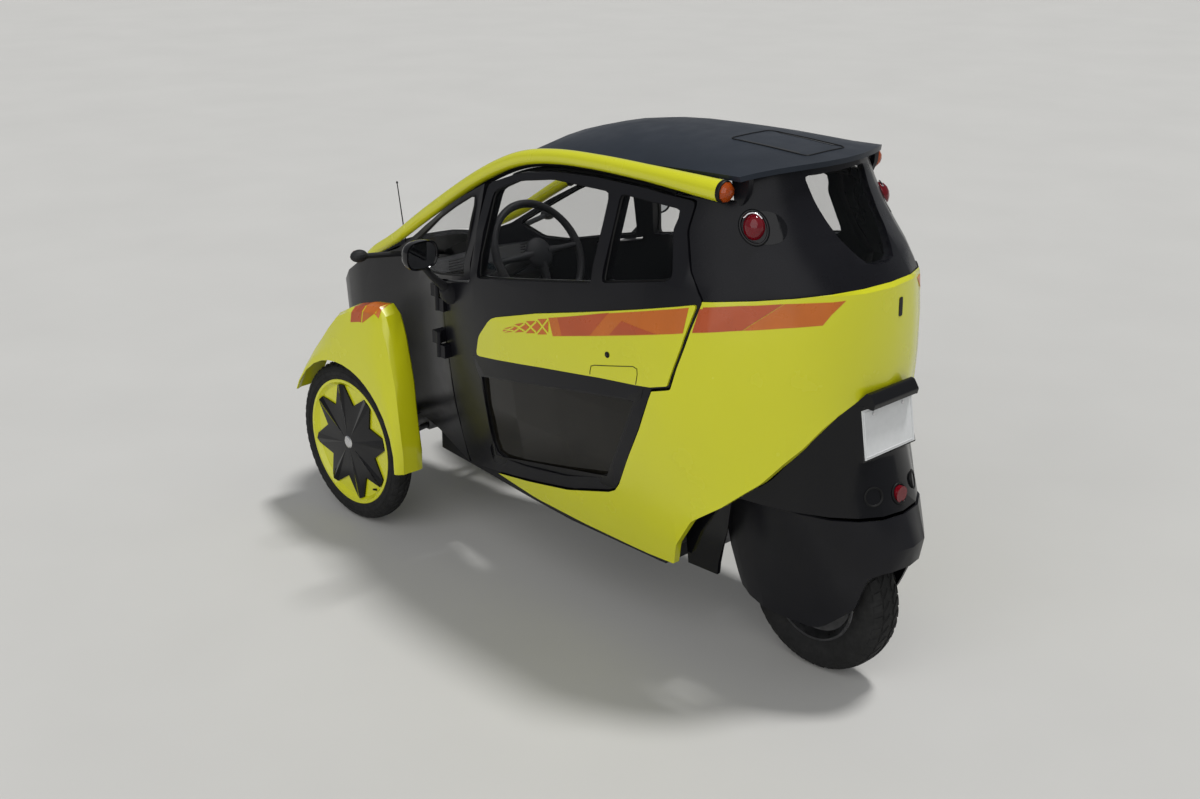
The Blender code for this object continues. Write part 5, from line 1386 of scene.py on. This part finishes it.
@dataclass
class Padded(Assembly):
    """Padded cushion, inflated by cloth simulation."""

    voxel: float = 0.006
    pressure: float = 4.0
    frames: int = 20
    swell: float = 0.009
    fill: float = 0.6

    def cushion(self, name: str, bm: bmesh.types.BMesh, body: Body, replaces: Sequence[str] = ()) -> None:
        """Make one cushion.

        Args:
            name: Name of the piece.
            bm: Its rough shape, slightly smaller than the cushion.
            body: The body that it rides on.
            replaces: Frame nodes that it stands for.
        """
        obj = self.piece(name, bm, CLOTH, body, crease=180, replaces=replaces)
        remesh = obj.modifiers.new("even_mesh", "REMESH")
        remesh.mode = "VOXEL"
        remesh.voxel_size = self.voxel
        self.fix(obj)
        start = [vert.co.copy() for vert in obj.data.vertices]
        cloth = obj.modifiers.new("padding", "CLOTH")
        cloth.settings.use_pressure = True
        cloth.settings.uniform_pressure_force = self.pressure
        cloth.settings.effector_weights.gravity = 0.0
        cloth.point_cache.frame_start = 1
        cloth.point_cache.frame_end = self.frames
        for frame in range(1, self.frames + 1):
            bpy.context.scene.frame_set(frame)
        self.fix(obj)
        bpy.context.scene.frame_set(1)
        for vert, old in zip(obj.data.vertices, start):
            step = vert.co - old
            if step.length > self.swell:
                vert.co = old + step.normalized() * self.swell
        finer = obj.modifiers.new("fine", "SUBSURF")
        finer.levels = finer.render_levels = 1
        self.fix(obj)
        for polygon in obj.data.polygons:
            polygon.use_smooth = True

    @staticmethod
    def fix(obj: bpy.types.Object) -> None:
        """Apply an object's modifiers."""
        graph = bpy.context.evaluated_depsgraph_get()
        graph.update()
        made = bpy.data.meshes.new_from_object(obj.evaluated_get(graph))
        old = obj.data
        obj.modifiers.clear()
        obj.data = made
        if not made.materials:
            made.materials.append(CLOTH.material())
        bpy.data.meshes.remove(old)


@dataclass
class Cabin(Padded):
    """Seats, steering wheel and dashboard fittings. A seat part is two corners and how far its edges are cut."""

    pan: tuple[Point, Point, float] = ((-0.168, -0.030, 0.342), (0.168, 0.320, 0.408), 0.016)
    seat: tuple[Point, Point, float] = ((-0.160, -0.028, 0.414), (0.160, 0.292, 0.484), 0.026)
    back: tuple[Point, Point, float] = ((-0.155, 0.315, 0.455), (0.155, 0.362, 0.770), 0.020)
    back_lean: float = -7.0
    back_foot: Point = (0.0, 0.315, 0.455)
    head: tuple[Point, Point, float] = ((-0.090, 0.350, 0.800), (0.090, 0.392, 0.935), 0.018)
    posts: Flat = (-0.04, 0.04)
    bench: tuple[Point, Point, float] = ((-0.180, 0.530, 0.640), (0.180, 0.790, 0.715), 0.024)
    stitch_start: Point = (-0.150, 0.120, 0.4945)
    hub: Point = (0.0, -0.300, 0.955)
    column: Point = (0.0, 0.860135, 0.510080)
    rim: float = 0.165
    boss: Profile = ((-0.020, 0.0), (-0.020, 0.030), (-0.006, 0.048), (0.006, 0.050), (0.013, 0.044), (0.016, 0.0))

    def build(self) -> None:
        """Make the fittings of the cabin."""
        self.seats()
        self.steering_wheel()
        self.dashboard()

    def seats(self) -> None:
        """Make the driver's seat and the rear bench."""
        self.piece("driver_seat_pan", block(*self.pan), MOULDING, Body.CAR, replaces=("driver_seat",))
        self.cushion("driver_cushion", block(*self.seat, 3), Body.CAR)
        back, foot = block(*self.back, 3), Matrix.Translation(self.back_foot)
        lean = foot @ Matrix.Rotation(math.radians(self.back_lean), 4, "X") @ foot.inverted()
        bmesh.ops.transform(back, matrix=lean, verts=back.verts)
        self.cushion("driver_backrest", back, Body.CAR)
        self.cushion("driver_headrest", block(*self.head, 3), Body.CAR)
        posts = joined([tube([Vector((x, 0.362, 0.750)), Vector((x, 0.372, 0.850))], 0.005, 10)
                        for x in self.posts])
        self.piece("headrest_posts", posts, BRIGHT, Body.CAR)
        self.cushion("rear_cushion", block(*self.bench, 3), Body.CAR, ("rear_seat",))
        stitch = tube([Vector((-0.0035, 0, 0)), Vector((0.0035, 0, 0))], 0.0007, 6)
        row = ROW.spread(stitch, 32, self.stitch_start, ALONG_X, 0.305, THREAD)
        self.piece("driver_cushion_stitches", row, THREAD, Body.CAR)

    def steering_wheel(self) -> None:
        """Make the steering wheel."""
        hub, axis, level = Vector(self.hub), Vector(self.column), Vector(ALONG_X)
        up = axis.cross(level).normalized()
        if up.z < 0:
            up = -up
        ring = [hub + (level * math.cos(a) + up * math.sin(a)) * self.rim for a in angles(72)]
        rim = tube(ring, [0.0125 + 0.0008 * math.cos(8 * math.pi * k / 72) for k in range(72)], 14, closed=True)
        spokes = []
        for angle in (0.0, -90.0, 180.0):
            a = math.radians(angle)
            out = level * math.cos(a) + up * math.sin(a)
            spokes.append(tube([hub + out * 0.030, hub + out * 0.090 - axis * 0.004, hub + out * self.rim],
                               [0.017, 0.011, 0.009], 12))
        boss = lathe(self.boss, hub, axis, 36, closed=False)
        self.piece("steering_wheel_rim", joined([rim, *spokes, boss]), MOULDING, Body.STEERING, crease=50,
                   replaces=("steering_wheel",))

    def dashboard(self) -> None:
        """Make the display and the vents."""
        board = Skin(("dashboard",))

        def face(x: float, z: float, lift: float) -> Vector | None:
            """Return the dashboard's point facing the driver."""
            return board.cast(Vector((x, 1.0, z)), Vector((0, -1, 0)), lift)

        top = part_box("dashboard")[1][2]
        outline = rounded([(x, top - drop, 0.012) for x, drop in ((-0.075, 0.105), (0.075, 0.105), (0.075, 0.030),
                                                                  (-0.075, 0.030))])
        self.piece("dash_display", laid(outline, 0.02, face, 0.0025), SCREEN, Body.CAR)
        for side in Side:
            start = face(side.value * 0.150 - 0.03, top - 0.095, 0.001)
            slat = block((0.0, 0.0, -0.0015), (0.060, 0.004, 0.0015), 0.0006)
            vents = ROW.spread(slat, 6, start, (0.0, 0.0, 1.0), 0.054, SEAL)
            self.piece(f"dash_vent_{side.word}", vents, SEAL, Body.CAR)


@dataclass
class Studio:
    """Floor, soft lights and the camera of the photograph."""

    camera_place: Point = (3.1333, 3.2695, 2.2711)
    yaw: float = 136.3787
    pitch: float = 20.8427
    roll: float = 0.1776
    sensor: float = 36.0
    lens: float = 46.857
    floor_half: float = 45.0
    floor_colour: Colour = (0.53, 0.522, 0.50)
    key_from: Point = (-0.28, 0.12, 0.95)
    key_strength: float = 2.0
    key_spread: float = 9.0
    fill_from: Point = (0.80, 0.38, 0.42)
    fill_strength: float = 1.50
    fill_spread: float = 75.0
    world_strength: float = 0.30
    world_colour: Colour = (0.93, 0.96, 1.0)

    def build(self) -> None:
        """Make the camera, lights, world and floor."""
        self.camera()
        self.lamp("key_light", self.key_from, self.key_spread, self.key_strength)
        self.lamp("fill_light", self.fill_from, self.fill_spread, self.fill_strength)
        self.world()
        self.floor()
        bpy.context.scene.view_settings.view_transform = "Standard"

    def camera(self) -> None:
        """Place the camera as the photograph was taken."""
        yaw, pitch, roll = (math.radians(angle) for angle in (self.yaw, self.pitch, self.roll))
        ahead = Vector((-math.sin(yaw) * math.cos(pitch), math.cos(yaw) * math.cos(pitch), -math.sin(pitch)))
        level = ahead.cross(Vector((0.0, 0.0, 1.0))).normalized()
        up = level.cross(ahead)
        right = level * math.cos(roll) + up * math.sin(roll)
        top = up * math.cos(roll) - level * math.sin(roll)
        data = bpy.data.cameras.new("camera")
        data.sensor_width = self.sensor
        data.lens = self.lens
        data.clip_end = 200.0
        camera = bpy.data.objects.new("camera", data)
        turn = Matrix((right, top, -ahead)).transposed().to_4x4()
        camera.matrix_world = Matrix.Translation(self.camera_place) @ turn
        bpy.context.scene.collection.objects.link(camera)
        bpy.context.scene.camera = camera

    def lamp(self, name: str, source: Point, spread: float, strength: float) -> None:
        """Add one far soft light.

        Args:
            name: Name of the light.
            source: Direction that it comes from.
            spread: Angle that it fills in the sky, in degrees.
            strength: Its strength.
        """
        data = bpy.data.lights.new(name, "SUN")
        data.angle = math.radians(spread)
        data.energy = strength
        light = bpy.data.objects.new(name, data)
        light.matrix_world = Vector(source).to_track_quat("Z", "Y").to_matrix().to_4x4()
        bpy.context.scene.collection.objects.link(light)

    def world(self) -> None:
        """Light the car evenly from a pale sky."""
        world = bpy.data.worlds.new("studio")
        bpy.context.scene.world = world
        world.use_nodes = True
        tree = Tree(world.node_tree)
        sky = tree.add("ShaderNodeBackground", {"Color": (*self.world_colour, 1.0), "Strength": self.world_strength})
        tree.add("ShaderNodeOutputWorld", {"Surface": sky.outputs["Background"]})

    def floor(self) -> None:
        """Lay a plain pale floor."""
        mesh = bpy.data.meshes.new("studio_floor")
        reach = self.floor_half
        signs = ((-1, -1), (1, -1), (1, 1), (-1, 1))
        mesh.from_pydata([(a * reach, b * reach, 0.0) for a, b in signs], [], [(0, 1, 2, 3)])
        floor = bpy.data.objects.new("studio_floor", mesh)
        bpy.context.scene.collection.objects.link(floor)
        finish = Finish("floor_grey", "", self.floor_colour, 0.90, mottle=0.02, mottle_scale=1.4,
                        grain_scale=90.0, grain_depth=0.0002)
        mesh.materials.append(finish.material())


def main() -> None:
    """Build the looks around the frame."""
    logging.basicConfig(level=logging.INFO, format="%(name)s: %(message)s")
    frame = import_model()
    for finish, names in NODE_FINISHES.items():
        for name in names:
            node = frame["nodes"][name]
            node.data.materials.clear()
            node.data.materials.append(finish.material())
    Studio().build()
    Panels().build()
    SideStripes().build()
    for side in Side:
        for part in (DoorTrim(side), FrontWheel(side), Fender(side), Mirror(side)):
            part.build()
    for part in (RearWheel(), Lamps(), RearTrim(), RoofTrim(), Cabin()):
        part.build()


if __name__ == "__main__":
    main()
